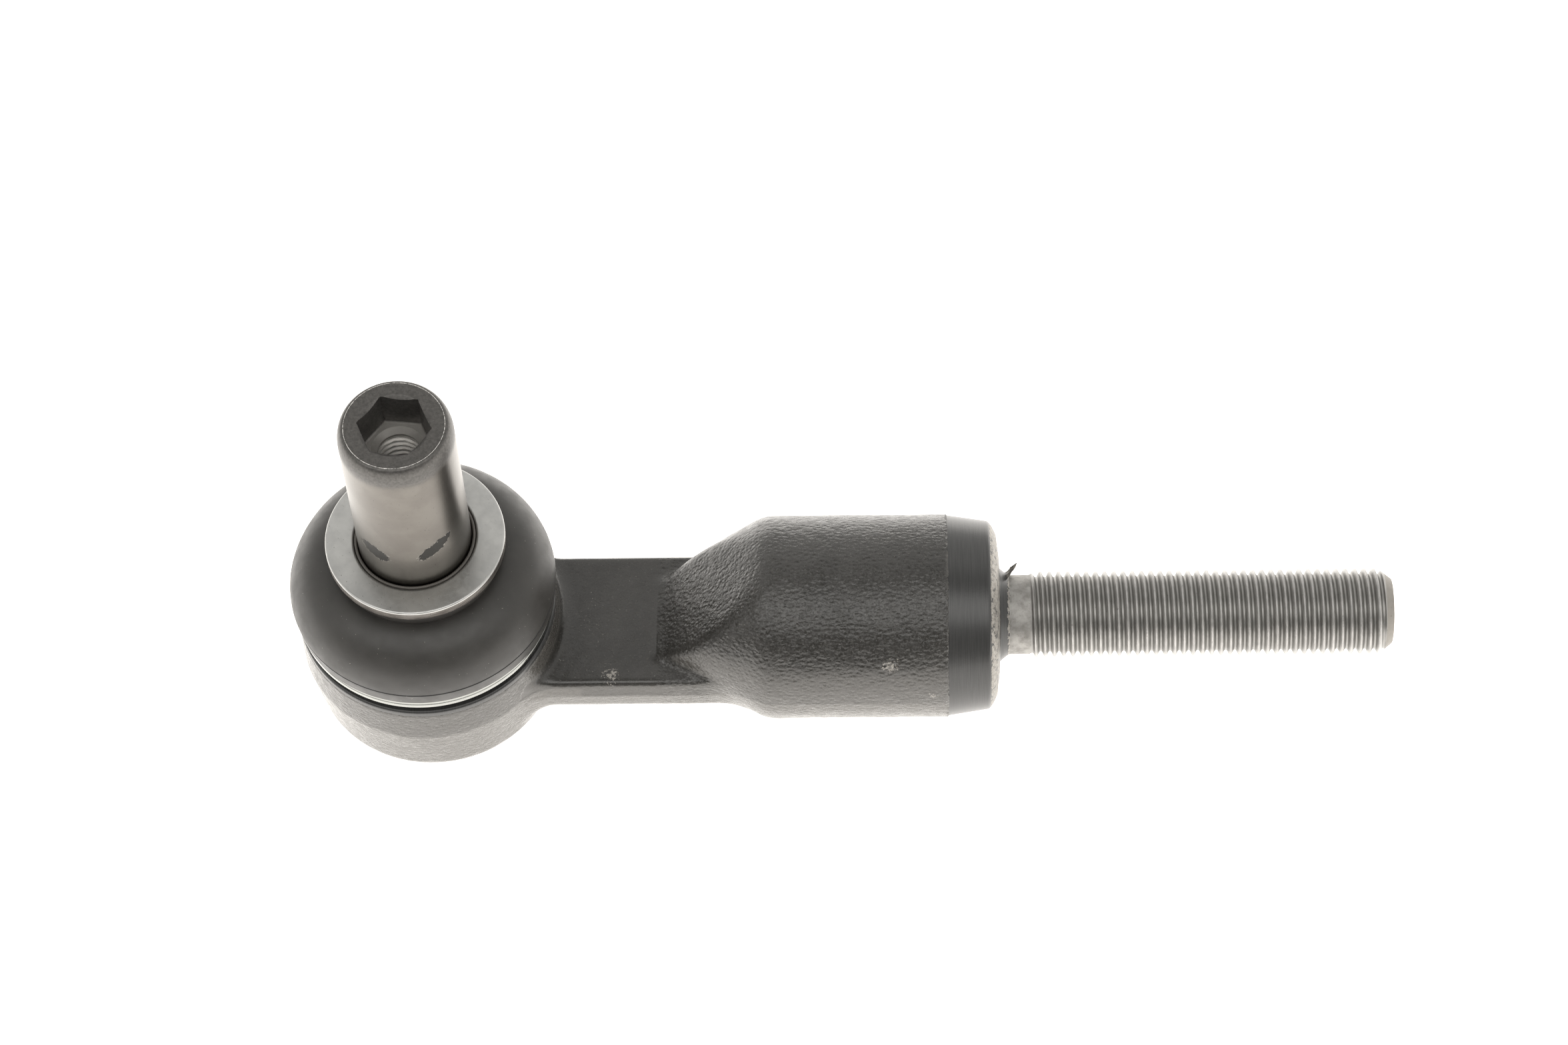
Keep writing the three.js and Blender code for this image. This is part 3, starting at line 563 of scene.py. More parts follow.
def make_shank():
    """The shank: a smooth neck and a right-hand rolled thread that runs out of it and ends in a chamfer."""
    start, chamfer, end_r = CONE_X, 2.2, THREAD_R - 1.75

    def radius_at(along, share):
        thread = THREAD_R - thread_profile(share, THREAD_DEPTH)
        lead = between(along, THREAD_START - 0.7, THREAD_START + 0.9)
        cone = THREAD_R - (along - (SHANK_END - chamfer)) * (THREAD_R - end_r) / chamfer
        body = np.where(along < THREAD_START + 0.9, NECK_R * (1 - lead) + thread * lead, thread)
        return np.maximum(np.minimum(body, cone), 0)

    def end_at(radius, along):
        past = np.maximum(along - SHANK_END, 0)
        before = np.maximum(start + 3 - along, 0)
        shrink = np.maximum(end_r - past, 0)
        radius = np.where(past > 0, np.minimum(radius, shrink), radius)
        radius = np.where(before > 0, np.maximum(NECK_R - 0.4 - before * 3, 0), radius)
        return radius, np.clip(along, start + 3, SHANK_END)

    stop = SHANK_END + end_r + THREAD_PITCH
    grid = helix_grid(start, stop, THREAD_PITCH, ROWS_A_TURN, THREAD_COLUMNS, radius_at, end_at)
    return helix_piece("threaded_shank", along_x(grid))


def make_paint_curl(start, stop, reach, rise):
    """A flake of paint that peels off the shank's neck between two angles. Across the flake, s runs from its root
    to its free edge: it stands off the neck by rise s squared, and its outer and inner faces close at every edge."""
    a = np.radians(np.linspace(start, stop, 41))[None]
    swell = np.sin(np.linspace(0, np.pi, 41))[None] ** 0.7
    loop = np.linspace(0, 2 * np.pi, 33)[:, None]
    s = (1 - np.cos(loop)) / 2
    thick = 0.16 * np.sin(loop) * swell
    ragged = 1 + 0.35 * noise(np.stack([a[0] * 9, 0 * a[0], 0 * a[0]], 1), 1.0, 41)[None]
    radius = NECK_R + 0.02 + swell * (0.30 + rise * ragged * s * s) + thick
    place = FACE_X + 0.9 + reach * swell * ragged * (s - 0.18 * s**3)
    grid = np.stack([place + 0 * radius, radius * np.sin(a), AXIS_Z + radius * np.cos(a)], 2)
    return sheet_of(f"paint_curl_{start}", grid, sharp=60)


# ---- stud ----
HEX_FLATS = 10
HEX_DEPTH = 6.8
HEX_TURN = math.radians(-6)
HOLE_R = 3.35
HOLE_PITCH = 1.25
HOLE_DEPTH = 18
COUNTERSINK = 0.95
NOSE_IN = 1.15
# unground spots on the pin: azimuth in degrees, lean, height, and half its length and width
PIN_SPOTS = ((-125, -0.20, 47.6, 3.1, 1.7), (-60, 0.46, 49.0, 3.3, 1.6))


def make_stud():
    """The stud as one surface of rows round its axis: ball, waist, pin and rounded nose outside, then the chamfered
    hexagon and the threaded hole inside. The hexagon's radius at angle a is half its width across flats divided
    by the cosine of a's distance from the middle of a flat."""
    columns = 240
    a = around(columns)[None]
    from_flat = (a - HEX_TURN) % (np.pi / 3) - np.pi / 6
    hexagon = HEX_FLATS / 2 / np.cos(from_flat)
    waist_angle = math.degrees(math.acos(WAIST_R / BALL_R))
    start_z = WASHER_TOP - 6.5
    nose_z = STUD_TOP - 3.3
    ball = arc(0, AXIS_Z, BALL_R, -56, waist_angle, 30)
    neck = eased([(WAIST_R, AXIS_Z + 9.3), (WAIST_R, start_z - 5.5, 1.5), (PIN_R, start_z, 1.5), (PIN_R, nose_z)])
    turn = np.radians(np.linspace(5, 82, 14))
    nose = np.stack([PIN_R - NOSE_IN * (1 - np.cos(turn)), nose_z + 3.25 * np.sin(turn)], 1)
    rim_r = PIN_R - NOSE_IN - 0.06
    outside = np.concatenate([
        [[0, ball[0, 1]]],
        ball,
        resampled(neck, 0.3)[1:],
        nose,
        [[rim_r + 0.10, STUD_TOP - 0.05], [rim_r, STUD_TOP], [rim_r - 0.25, STUD_TOP]],
    ])

    floor = STUD_TOP - HEX_DEPTH
    mouth = np.maximum(hexagon, HEX_FLATS / 2 + 0.55)
    wall_top = STUD_TOP - (mouth - hexagon) * 0.9
    rows = [
        (mouth + 0.08, STUD_TOP),
        (mouth, STUD_TOP - 0.05),
        (hexagon + 0.03, wall_top),
        (hexagon, wall_top - 0.12),
        (hexagon, floor + 0.25),
        (hexagon - 0.25, floor),
        (HOLE_R + COUNTERSINK, floor),
        (HOLE_R + 0.1, floor - COUNTERSINK + 0.1),
    ]
    depth = np.linspace(COUNTERSINK, HOLE_DEPTH, 180)[:, None]
    share = -depth / HOLE_PITCH - a / (2 * np.pi)
    fade = between(depth, COUNTERSINK, COUNTERSINK + 0.8) * (1 - between(depth, HOLE_DEPTH - 3, HOLE_DEPTH - 1))
    thread = HOLE_R + 0.68 * fade * (0.5 + 0.5 * np.cos(2 * np.pi * share)) ** 0.8
    radius = np.concatenate([
        outside[:, :1] + 0 * a,
        *(r + 0 * a for r, _ in rows),
        thread,
        0 * a,
    ])
    height = np.concatenate([
        outside[:, 1:] + 0 * a,
        *(z + 0 * a for _, z in rows),
        floor - depth + 0 * a,
        floor - HOLE_DEPTH - 1.9 + 0 * a,
    ])
    angle = 0 * radius + a
    grid = np.stack([radius * np.cos(angle), radius * np.sin(angle), height], 2)
    inside = (radius < HEX_FLATS / math.sqrt(3) + 0.4) & (height > start_z + 8)
    dark = np.where(inside, 1, between(height, STUD_TOP - 5.6, STUD_TOP - 2.0))
    below = floor - height
    groove = 0.5 + 0.5 * np.cos(2 * np.pi * (-below / HOLE_PITCH - angle / (2 * np.pi)))
    # hole: painted highlight, half on the socket's floor and full on the crests of the hole's thread, fading to none
    # in its roots
    hole = np.where(inside & (below > -0.1), np.where(below > COUNTERSINK, 1 - 0.95 * groove, 0.5), 0)
    rim = np.exp(-(((radius - rim_r) / 0.13) ** 2)) * (height > STUD_TOP - 0.3)
    spot = np.zeros_like(radius)
    for azimuth, lean, low, length, width in PIN_SPOTS:
        along = ((np.degrees(angle) - azimuth + 180) % 360 - 180) / 180 * np.pi * PIN_R
        across = height - low - lean * along
        spot = np.maximum(spot, 1 - (along / length) ** 2 - (across / width) ** 2)
    spot = np.where(radius > PIN_R - 0.1, spot, 0)
    attributes = {"dark": dark, "hole": hole, "rim": rim, "spot": np.clip(spot, 0, 1)}
    return sheet_of("stud", grid, attributes, sharp=32)


# ---- washer, boot and rings ----
def make_washer():
    """A flat ring with rounded, slightly worn edges."""
    bore_r = PIN_R + 0.7
    profile = eased(
        [
            (bore_r, WASHER_UNDER, 0.2),
            (WASHER_R, WASHER_UNDER, 0.35),
            (WASHER_R, WASHER_TOP, 0.42),
            (bore_r, WASHER_TOP, 0.5),
        ],
        closed=True,
        steps=7,
    )
    return sheet_of("washer", turned(profile, 240))


def make_boot():
    """The boot's section carried round: a bead under the clamp ring, the bulged flank with the mould's seam at its
    widest, and a collar whose lip rises inside the washer. Low, broad noise keeps it from being perfectly round."""
    seam_z = clamp_high[2] + 3.1
    collar_r = WASHER_R - 1
    collar_z = WASHER_UNDER - 2.7
    lip_r = PIN_R + 0.15
    rise = collar_z - seam_z
    reach = BOOT_R - collar_r
    t = np.linspace(0, 1, 34)[1:]
    swell = np.radians(90 * t)
    flank = np.stack([
        BOOT_R - reach * (1 - np.cos(swell)) ** 0.86,
        seam_z + rise * np.sin(swell) ** 0.93,
    ], 1)
    flank = np.concatenate([[[BOOT_R, seam_z + 0.2]], flank])
    bead_r = clamp_high[0] - 1.2
    bead_z = clamp_high[2] + 0.12
    outside = np.concatenate([
        [[GROOVE_R + GAP, CUP_TOP + GAP], [bead_r - 0.1, CUP_TOP + GAP], [bead_r, CUP_TOP + GAP + 0.2]],
        [[bead_r, bead_z - 0.02], [bead_r + 0.1, bead_z], [BOOT_R - 0.95, bead_z]],
        arc(BOOT_R - 0.75, bead_z + 0.5, 0.5, -90, -8, 8),
        [[BOOT_R - 0.1, seam_z - 0.9], [BOOT_R - 0.04, seam_z - 0.22]],
        [[BOOT_R - 0.3, seam_z - 0.1], [BOOT_R - 0.3, seam_z + 0.1]],
        flank,
        arc(collar_r - 0.3, WASHER_UNDER - 0.6, 0.3, 0, 90, 4),
        [[lip_r + 0.46, WASHER_UNDER - 0.3], [lip_r + 0.49, WASHER_TOP - 0.3]],
        arc(lip_r + 0.25, WASHER_TOP - 0.25, 0.25, 10, 170, 8),
        [[lip_r, WASHER_TOP - 0.7]],
    ])
    inner_flank = np.stack([
        BOOT_R - 1.7 - (reach - 1.9) * (1 - np.cos(swell[::-1])) ** 0.86,
        seam_z + (rise - 1.2) * np.sin(swell[::-1]) ** 0.93,
    ], 1)
    inside = np.concatenate([
        [[lip_r, collar_z - 0.6]],
        [[inner_flank[0, 0] - 0.4, collar_z - 0.7]],
        inner_flank[1::2],
        [[BOOT_R - 1.75, seam_z - 1.6]],
        [[FLANGE_R + GAP, NECK_TOP - 0.5], [FLANGE_R + GAP, NECK_TOP - 1.3], [GROOVE_R + GAP, NECK_TOP - 1.8]],
    ])
    profile = np.concatenate([outside, inside, outside[:1]])
    grid = turned(profile, 200)
    flat = grid.reshape(-1, 3)
    loose = between(grid[..., 2], seam_z - 1, seam_z + 3) * (1 - between(grid[..., 2], collar_z - 2, collar_z))
    sway = 0.10 * noise(flat, 9, 31).reshape(loose.shape) * loose
    radial = np.hypot(grid[..., 0], grid[..., 1])
    grid[..., :2] *= (1 + sway / radial)[..., None]
    seam = np.exp(-(((grid[..., 2] - seam_z) / 0.24) ** 2)) * (radial > BOOT_R - 0.5)
    # lip: where moulded_rubber paints a highlight on the lip inside the washer
    lip = between(grid[..., 2], WASHER_TOP - 1.2, WASHER_TOP - 0.8)
    boot = sheet_of("boot", grid, {"seam": seam, "lip": lip}, sharp=40)
    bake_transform(boot, "boot", "collar", start=(0, 0, (clamp_high[2] + 0.6) * MM), end=(0, 0, (collar_z - 0.6) * MM))
    return boot


def make_clamp_ring():
    """A flat spring ring of two turns, one on the other, with rounded edges."""
    inner, outer = clamp_high[0] - 0.95, clamp_high[0]
    low, high = clamp_low[2], clamp_high[2]
    middle = low + 0.56 * (high - low)
    profile = eased(
        [
            (inner, low, 0.2),
            (outer, low, 0.3),
            (outer, middle - 0.02, 0.26),
            (outer - 0.3, middle, 0.05),
            (outer - 0.06, middle + 0.02, 0.26),
            (outer - 0.12, high, 0.3),
            (inner, high, 0.2),
        ],
        closed=True,
        steps=6,
    )
    return sheet_of("clamp_ring", turned(profile, 240))


def make_mouth_ring():
    """The stiffening ring inside the boot's collar."""
    inner, outer = PIN_R + 1.1, mouth_high[0]
    low, high = mouth_low[2], mouth_high[2]
    corners = [(inner, low, 0.2), (outer, low, 0.2), (outer, high, 0.2), (inner, high, 0.2)]
    return sheet_of("mouth_ring", turned(eased(corners, closed=True)))


# ---- closing plate, race and seals ----
def make_plate():
    """The pressed closing plate, with a shallow round dimple in the middle of its flat face."""
    middle_r = plate_high[0] - 2.0
    top = plate_high[2]
    profile = eased([
        (0, 0.5),
        (3.2, 0.5, 0.8),
        (4.4, 0, 0.8),
        (middle_r, 0, 0.4),
        (middle_r, top - 0.5, 0.1),
        (plate_high[0], top - 0.5, 0.15),
        (plate_high[0], top, 0.15),
        (0, top),
    ])
    return sheet_of("plate", turned(profile))


def make_upper_race():
    """The race over the ball's upper half: a domed shell with its mouth along the swung waist."""
    r = BALL_R + GAP
    top = upper_high[2]
    seat = 90 - math.degrees(TILT) - math.degrees(math.asin((WAIST_R + 0.45) / r))
    low = AXIS_Z + GAP / 2
    dome = [(*p, 0.1) for p in arc(0, AXIS_Z, r + 3.1, 13.5, math.degrees(math.asin((top - AXIS_Z) / (r + 3.1))), 10)]
    inner = [(*p, 0) for p in arc(0, AXIS_Z, r, seat, 1, 14)]
    corners = [(r + 2.7, low, 0.3), *dome, (mouth_reach(top - AXIS_Z) - GAP, top, 0.3), *inner]
    return sheet_of("upper_race", turned(eased(corners, closed=True)))


def make_lower_race():
    """The race under the ball's lower half, stepped round the preload ring."""
    r = BALL_R + GAP
    low, high = lower_low[2], lower_high[2]
    step_r = preload_high[0] - 3.2
    floor = math.degrees(math.asin((AXIS_Z - low) / r))
    inner = [(*p, 0) for p in arc(0, AXIS_Z, r, -1, -floor, 16)]
    corners = [
        (step_r, low, 0.2),
        (step_r, preload_high[2] + GAP, 0.2),
        (r + 2.7, preload_high[2] + GAP, 0.3),
        (r + 2.7, high, 0.3),
        *inner,
    ]
    return sheet_of("lower_race", turned(eased(corners, closed=True)))


def make_soft_ring(name, low, high, width):
    """A moulded ring with a domed outside."""
    corners = [
        (high[0] - width, low[2], 0.25),
        (high[0], low[2], 0.35),
        (high[0], high[2], 0.35),
        (high[0] - width, high[2], 0.25),
    ]
    return sheet_of(name, turned(eased(corners, closed=True)))


# ---- materials ----
class Finish:
    """One procedural material: a Principled shader and short names for the nodes that feed it."""

    def __init__(self, name, **sockets):
        self.material = bpy.data.materials.new(name)
        self.material.use_nodes = True
        self.tree = self.material.node_tree
        self.shader = self.tree.nodes["Principled BSDF"]
        for key, value in sockets.items():
            self.shader.inputs[key.replace("_", " ")].default_value = value
        self.coords = self.tree.nodes.new("ShaderNodeTexCoord").outputs["Object"]

    def node(self, kind, links=None, **settings):
        """A new node with its settings, and its inputs set or linked."""
        made = self.tree.nodes.new("ShaderNode" + kind)
        for key, value in settings.items():
            setattr(made, key, value)
        for key, value in (links or {}).items():
            if isinstance(value, bpy.types.NodeSocket):
                self.tree.links.new(value, made.inputs[key])
            else:
                made.inputs[key].default_value = value
        return made

    def noise(self, size, detail=3, rough=0.55, stretch=(1, 1, 1), distort=0):
        """Noise whose features are about size millimetres across, drawn out along each axis by stretch."""
        scale = tuple(1 / s for s in stretch)
        mapped = self.node("Mapping", {"Vector": self.coords, "Scale": scale}).outputs["Vector"]
        links = {"Vector": mapped, "Scale": 1 / (size * MM), "Detail": detail}
        links.update({"Roughness": rough, "Distortion": distort})
        return self.node("TexNoise", links).outputs["Fac"]

    def cells(self, size, feature="F1", stretch=(1, 1, 1)):
        """Distance to the nearest of scattered points that are about size millimetres apart."""
        scale = tuple(1 / s for s in stretch)
        mapped = self.node("Mapping", {"Vector": self.coords, "Scale": scale}).outputs["Vector"]
        links = {"Vector": mapped, "Scale": 1 / (size * MM)}
        return self.node("TexVoronoi", links, feature=feature).outputs["Distance"]

    def attribute(self, name):
        """One of the piece's own attributes."""
        return self.node("Attribute", attribute_name=name).outputs["Fac"]

    def place(self, axis):
        """The Object coordinate along an axis, in millimetres."""
        part = self.node("SeparateXYZ", {"Vector": self.coords}).outputs[axis]
        return self.times(part, 1 / MM)

    def math(self, operation, a, b=0.0):
        """One arithmetic step."""
        return self.node("Math", {0: a, 1: b}, operation=operation).outputs[0]

    def times(self, a, b):
        """The product of two values."""
        return self.math("MULTIPLY", a, b)

    def plus(self, a, b):
        """The sum of two values."""
        return self.math("ADD", a, b)

    def minus(self, a, b):
        """The first value less the second."""
        return self.math("SUBTRACT", a, b)

    def ramp(self, value, start, stop, low=0.0, high=1.0):
        """A value brought from start..stop to low..high, eased and held at both ends."""
        links = {"Value": value, "From Min": start, "From Max": stop, "To Min": low, "To Max": high}
        return self.node("MapRange", links, interpolation_type="SMOOTHSTEP").outputs["Result"]

    def mix(self, share, a, b):
        """Two colours mixed by a share."""
        made = self.node("Mix", data_type="RGBA")
        for socket, value in ((made.inputs["Factor"], share), (made.inputs[6], a), (made.inputs[7], b)):
            if isinstance(value, bpy.types.NodeSocket):
                self.tree.links.new(value, socket)
            elif isinstance(value, tuple):
                socket.default_value = (*value, 1)
            else:
                socket.default_value = value
        return made.outputs[2]

    def bump(self, *layers):
        """Bumps laid over each other. Each layer is a height from 0 to 1 and its depth in millimetres."""
        normal = None
        for height, depth in layers:
            links = {"Height": height, "Strength": 1.0, "Distance": depth * MM}
            if normal is not None:
                links["Normal"] = normal
            normal = self.node("Bump", links).outputs["Normal"]
        self.tree.links.new(normal, self.shader.inputs["Normal"])

    def set(self, name, value):
        """Feeds one of the shader's sockets."""
        self.tree.links.new(value, self.shader.inputs[name])


def forged_skin():
    """Satin black paint over a rough forging, lightened on its steep flanks, and more below the parting line, as a
    painted reflection of the floor. The grain follows the piece's own roughness attribute.
    """
    f = Finish("forged_skin", Specular_IOR_Level=0.6)
    rough = f.attribute("rough")
    under = f.attribute("under")
    leather = f.ramp(f.cells(0.66, stretch=(1.5, 1, 1)), 0.02, 0.72)
    grain = f.noise(0.50, 2.5, 0.6, (1.3, 1, 1), 0.6)
    pits = f.ramp(f.noise(0.33, 2, 0.6), 0.30, 0.44)
    base = f.mix(f.ramp(f.noise(9, 3), 0.35, 0.65), (0.026, 0.0245, 0.022), (0.036, 0.034, 0.031))
    # painted reflection: steep flanks lightened as if lit by the pale floor
    base = f.mix(f.attribute("flank"), base, (0.070, 0.066, 0.060))
    # painted reflection: the flanks below the parting line, which face down towards the floor, lightened further
    base = f.mix(f.times(under, f.attribute("flank")), base, (0.095, 0.089, 0.080))
    base = f.mix(f.times(f.ramp(f.noise(0.30, 2), 0.62, 0.70), 0.22), base, (0.15, 0.14, 0.125))
    dust = f.times(f.ramp(f.noise(0.30, 3, 0.7), 0.70, 0.74), f.ramp(f.noise(6, 2), 0.45, 0.7))
    base = f.mix(dust, base, (0.48, 0.46, 0.42))
    chips = f.times(f.attribute("cut_edge"), f.ramp(f.noise(0.55, 3, 0.7), 0.50, 0.56))
    base = f.mix(chips, base, (0.52, 0.50, 0.46))
    scuffed = f.plus(f.times(f.attribute("scuff"), 0.32), f.noise(0.42, 3, 0.75))
    base = f.mix(f.ramp(scuffed, 0.70, 0.78), base, (0.29, 0.272, 0.247))
    f.set("Base Color", base)
    f.set("Roughness", f.ramp(f.noise(1.3, 3), 0.3, 0.7, 0.20, 0.32))
    height = f.plus(f.times(grain, 0.6), f.times(leather, 0.4))
    shallow = f.times(pits, f.ramp(rough, 0.1, 0.6, 0.35, 1))
    f.bump((f.times(height, rough), 0.17), (shallow, 0.03), (f.noise(0.15, 2), 0.006))
    return f.material


def machined_paint():
    """The boss's end: smooth black paint over turned steel, worn through on the corner and end face."""
    f = Finish("machined_paint", Specular_IOR_Level=0.55)
    x = f.place("X")
    turning = f.noise(0.09, 2, 0.5, (1, 60, 60))
    ragged = f.plus(x, f.times(f.noise(0.7, 4, 0.7), 0.5))
    bare = f.ramp(ragged, CONE_END + 0.42, CONE_END + 0.52)
    flecks = f.ramp(f.noise(0.85, 4, 0.75), 0.555, 0.575)
    fillet = f.minus(x, f.times(f.noise(0.7, 4, 0.7), 1.2))
    corner = f.times(f.ramp(fillet, FACE_X - 0.62, FACE_X - 0.5), f.ramp(fillet, FACE_X + 0.95, FACE_X + 0.85))
    bare = f.times(bare, f.minus(1.0, f.math("MAXIMUM", flecks, corner)))
    dark = f.mix(f.ramp(turning, 0.3, 0.7), (0.026, 0.026, 0.026), (0.042, 0.042, 0.041))
    light = f.mix(f.ramp(f.noise(0.5, 4, 0.7), 0.35, 0.65), (0.24, 0.226, 0.205), (0.37, 0.352, 0.322))
    f.set("Base Color", f.mix(bare, dark, light))
    f.set("Metallic", f.ramp(bare, 0.3, 0.7, 0.0, 0.6))
    f.set("Roughness", f.ramp(bare, 0, 1, 0.33, 0.5))
    f.bump((turning, 0.006), (f.times(f.noise(0.5, 4, 0.7), bare), 0.05), (f.noise(0.35, 2), 0.008))
    return f.material


def rolled_steel():
    """Bare steel of the shank: satin, fine lines round it, painted shade darkening the thread's roots, with dark
    specks.
    """
    f = Finish("rolled_steel", Metallic=1.0)
    up = f.minus(f.place("Z"), AXIS_Z)
    side = f.place("Y")
    radius = f.math("SQRT", f.plus(f.times(up, up), f.times(side, side)))
    # painted shade: the thread's roots darkened, only where the shank is threaded
    painted_root_shade = f.ramp(radius, THREAD_R - 0.25, THREAD_R - 0.70)
    threaded = f.ramp(f.place("X"), THREAD_START - 0.4, THREAD_START + 0.2)
    painted_root_shade = f.times(painted_root_shade, threaded)
    lines = f.noise(0.10, 2, 0.5, (1, 40, 40))
    steel = f.mix(f.ramp(f.noise(2.0, 4, 0.65), 0.3, 0.7), (0.27, 0.262, 0.248), (0.42, 0.411, 0.393))
    rolled = f.mix(f.ramp(f.noise(1.6, 3), 0.3, 0.7), (0.40, 0.395, 0.385), (0.50, 0.493, 0.48))
    steel = f.mix(threaded, steel, rolled)
    steel = f.mix(f.times(painted_root_shade, 0.75), steel, (0.27, 0.264, 0.253))
    tip = f.ramp(f.place("X"), SHANK_END - 1.35, SHANK_END - 1.15)
    steel = f.mix(tip, steel, (0.30, 0.285, 0.262))
    specks = f.ramp(f.noise(0.34, 4, 0.75), 0.645, 0.68)
    steel = f.mix(f.times(specks, 0.85), steel, (0.05, 0.047, 0.044))
    f.set("Base Color", steel)
    plain = f.math("MAXIMUM", f.minus(1.0, threaded), tip)
    f.set("Roughness", f.plus(f.ramp(f.noise(0.8, 3), 0.3, 0.8, 0.44, 0.52), f.times(plain, 0.16)))
    f.bump((lines, 0.005), (f.noise(0.3, 3), 0.006))
    return f.material


def ground_pin():
    """The stud: a ground pin with faint stains and two spots that the wheel missed, and a dark phosphated nose and
    socket whose rim is nicked bright. The socket's floor and the crests of its hole's thread are lightened as painted
    highlights."""
    f = Finish("ground_pin")
    grinding = f.noise(0.08, 2, 0.5, (60, 60, 1))
    ragged = f.plus(f.attribute("dark"), f.times(f.minus(f.noise(1.6, 4, 0.6), 0.5), 0.35))
    nose = f.ramp(ragged, 0.05, 0.95)
    near = f.attribute("spot")
    edge = f.plus(near, f.times(f.minus(f.noise(0.8, 4, 0.7), 0.5), 1.7))
    spot = f.times(f.ramp(near, 0.01, 0.05), f.ramp(edge, 0.20, 0.26))
    nicks = f.ramp(f.plus(f.attribute("rim"), f.noise(0.45, 4, 0.75)), 1.30, 1.42)
    bright = f.mix(f.ramp(f.noise(5, 3), 0.35, 0.65), (0.132, 0.122, 0.110), (0.150, 0.140, 0.126))
    bright = f.mix(f.times(f.ramp(f.noise(1.2, 4, 0.7), 0.55, 0.75), 0.3), bright, (0.110, 0.101, 0.090))
    bright = f.mix(f.ramp(f.noise(0.30, 2, 0.6), 0.72, 0.75), bright, (0.02, 0.02, 0.02))
    scratches = f.ramp(f.noise(0.5, 3, 0.6, (6, 1, 1), 0.6), 0.69, 0.74)
    dark = f.mix(f.ramp(f.noise(0.5, 4, 0.7), 0.3, 0.7), (0.070, 0.067, 0.063), (0.112, 0.107, 0.101))
    dark = f.mix(f.times(scratches, 0.35), dark, (0.40, 0.38, 0.35))
    coated = f.math("MAXIMUM", nose, spot)
    colour = f.mix(nose, bright, dark)
    # painted highlight on the socket's floor and the crests of the hole's thread
    colour = f.mix(f.attribute("hole"), colour, (0.55, 0.53, 0.50))
    halo = f.times(f.ramp(near, 0.01, 0.05), f.ramp(edge, 0.06, 0.14))
    worn = f.times(halo, f.ramp(f.noise(0.5, 3, 0.7), 0.48, 0.56))
    colour = f.mix(worn, colour, (0.30, 0.285, 0.262))
    colour = f.mix(spot, colour, (0.014, 0.013, 0.011))
    f.set("Base Color", f.mix(nicks, colour, (0.75, 0.73, 0.70)))
    f.set("Metallic", f.ramp(coated, 0, 1, 1.0, 0.6))
    f.set("Roughness", f.ramp(f.plus(coated, f.times(f.noise(0.9, 3), 0.3)), 0, 1.2, 0.30, 0.42))
    f.bump(
        (grinding, 0.003),
        (f.minus(1.0, spot), 0.05),
        (f.times(f.noise(0.4, 3, 0.7), nose), 0.02),
    )
    return f.material


def satin_washer():
    """The washer: satin steel with small dark pits, and a darker turned side, partly a rougher turned finish and
    partly painted shade.
    """
    f = Finish("satin_washer", Metallic=1.0)
    pits = f.ramp(f.noise(0.30, 2, 0.6), 0.715, 0.745)
    steel = f.mix(f.ramp(f.noise(3, 4), 0.3, 0.7), (0.42, 0.42, 0.41), (0.50, 0.50, 0.485))
    # the side below the top's rounded edge darkened: partly a rougher turned finish, partly painted shade
    edge = f.ramp(f.place("Z"), WASHER_TOP - 0.30, WASHER_TOP - 0.42)
    streaks = f.ramp(f.noise(0.5, 3, 0.6, (6, 6, 1)), 0.4, 0.6)
    steel = f.mix(edge, steel, f.mix(streaks, (0.13, 0.12, 0.11), (0.22, 0.205, 0.19)))
    f.set("Base Color", f.mix(f.times(pits, 0.85), steel, (0.06, 0.06, 0.058)))
    f.set("Roughness", f.ramp(f.noise(0.6, 4, 0.7), 0.3, 0.7, 0.34, 0.44))
    f.bump((f.noise(0.14, 3), 0.005), (f.minus(1.0, pits), 0.03))
    return f.material


def moulded_rubber(name, tint, dust=True):
    """Matte moulded rubber, with a dark line in the mould's seam, a few grains of dust, and a painted highlight
    lightening the boot's lip.
    """
    f = Finish(name, Specular_IOR_Level=0.5)
    base = f.mix(f.ramp(f.noise(6, 4), 0.3, 0.7), tint, tuple(c * 1.3 for c in tint))
    # the dust flag also adds the lip's painted highlight and the seam's dark line
    if dust:
        # painted highlight: the lip inside the washer lightened, standing in for its gloss
        base = f.mix(f.attribute("lip"), base, (0.085, 0.078, 0.069))
        grains = f.times(f.ramp(f.noise(0.34, 2, 0.5, distort=0.4), 0.755, 0.775), 0.7)
        base = f.mix(grains, base, (0.36, 0.34, 0.29))
        broken = f.ramp(f.noise(0.9, 3, 0.7), 0.25, 0.45, 0.4, 1.0)
        base = f.mix(f.times(f.attribute("seam"), broken), base, (0.004, 0.004, 0.004))
    f.set("Base Color", base)
    f.set("Roughness", f.ramp(f.noise(2.2, 3), 0.3, 0.7, 0.40, 0.50))
    f.bump((f.noise(0.16, 3, 0.6), 0.005), (f.noise(1.8, 3), 0.010))
    return f.material


def bright_ring():
    """Bright drawn steel with fine lines round it."""
    f = Finish("bright_ring", Metallic=1.0)
    lines = f.noise(0.05, 2, 0.5, (40, 40, 1))
    f.set("Base Color", f.mix(f.ramp(lines, 0.3, 0.7), (0.28, 0.285, 0.27), (0.36, 0.365, 0.35)))
    f.set("Roughness", f.ramp(f.noise(0.8, 3), 0.3, 0.7, 0.16, 0.26))
    f.bump((lines, 0.003))
    return f.material


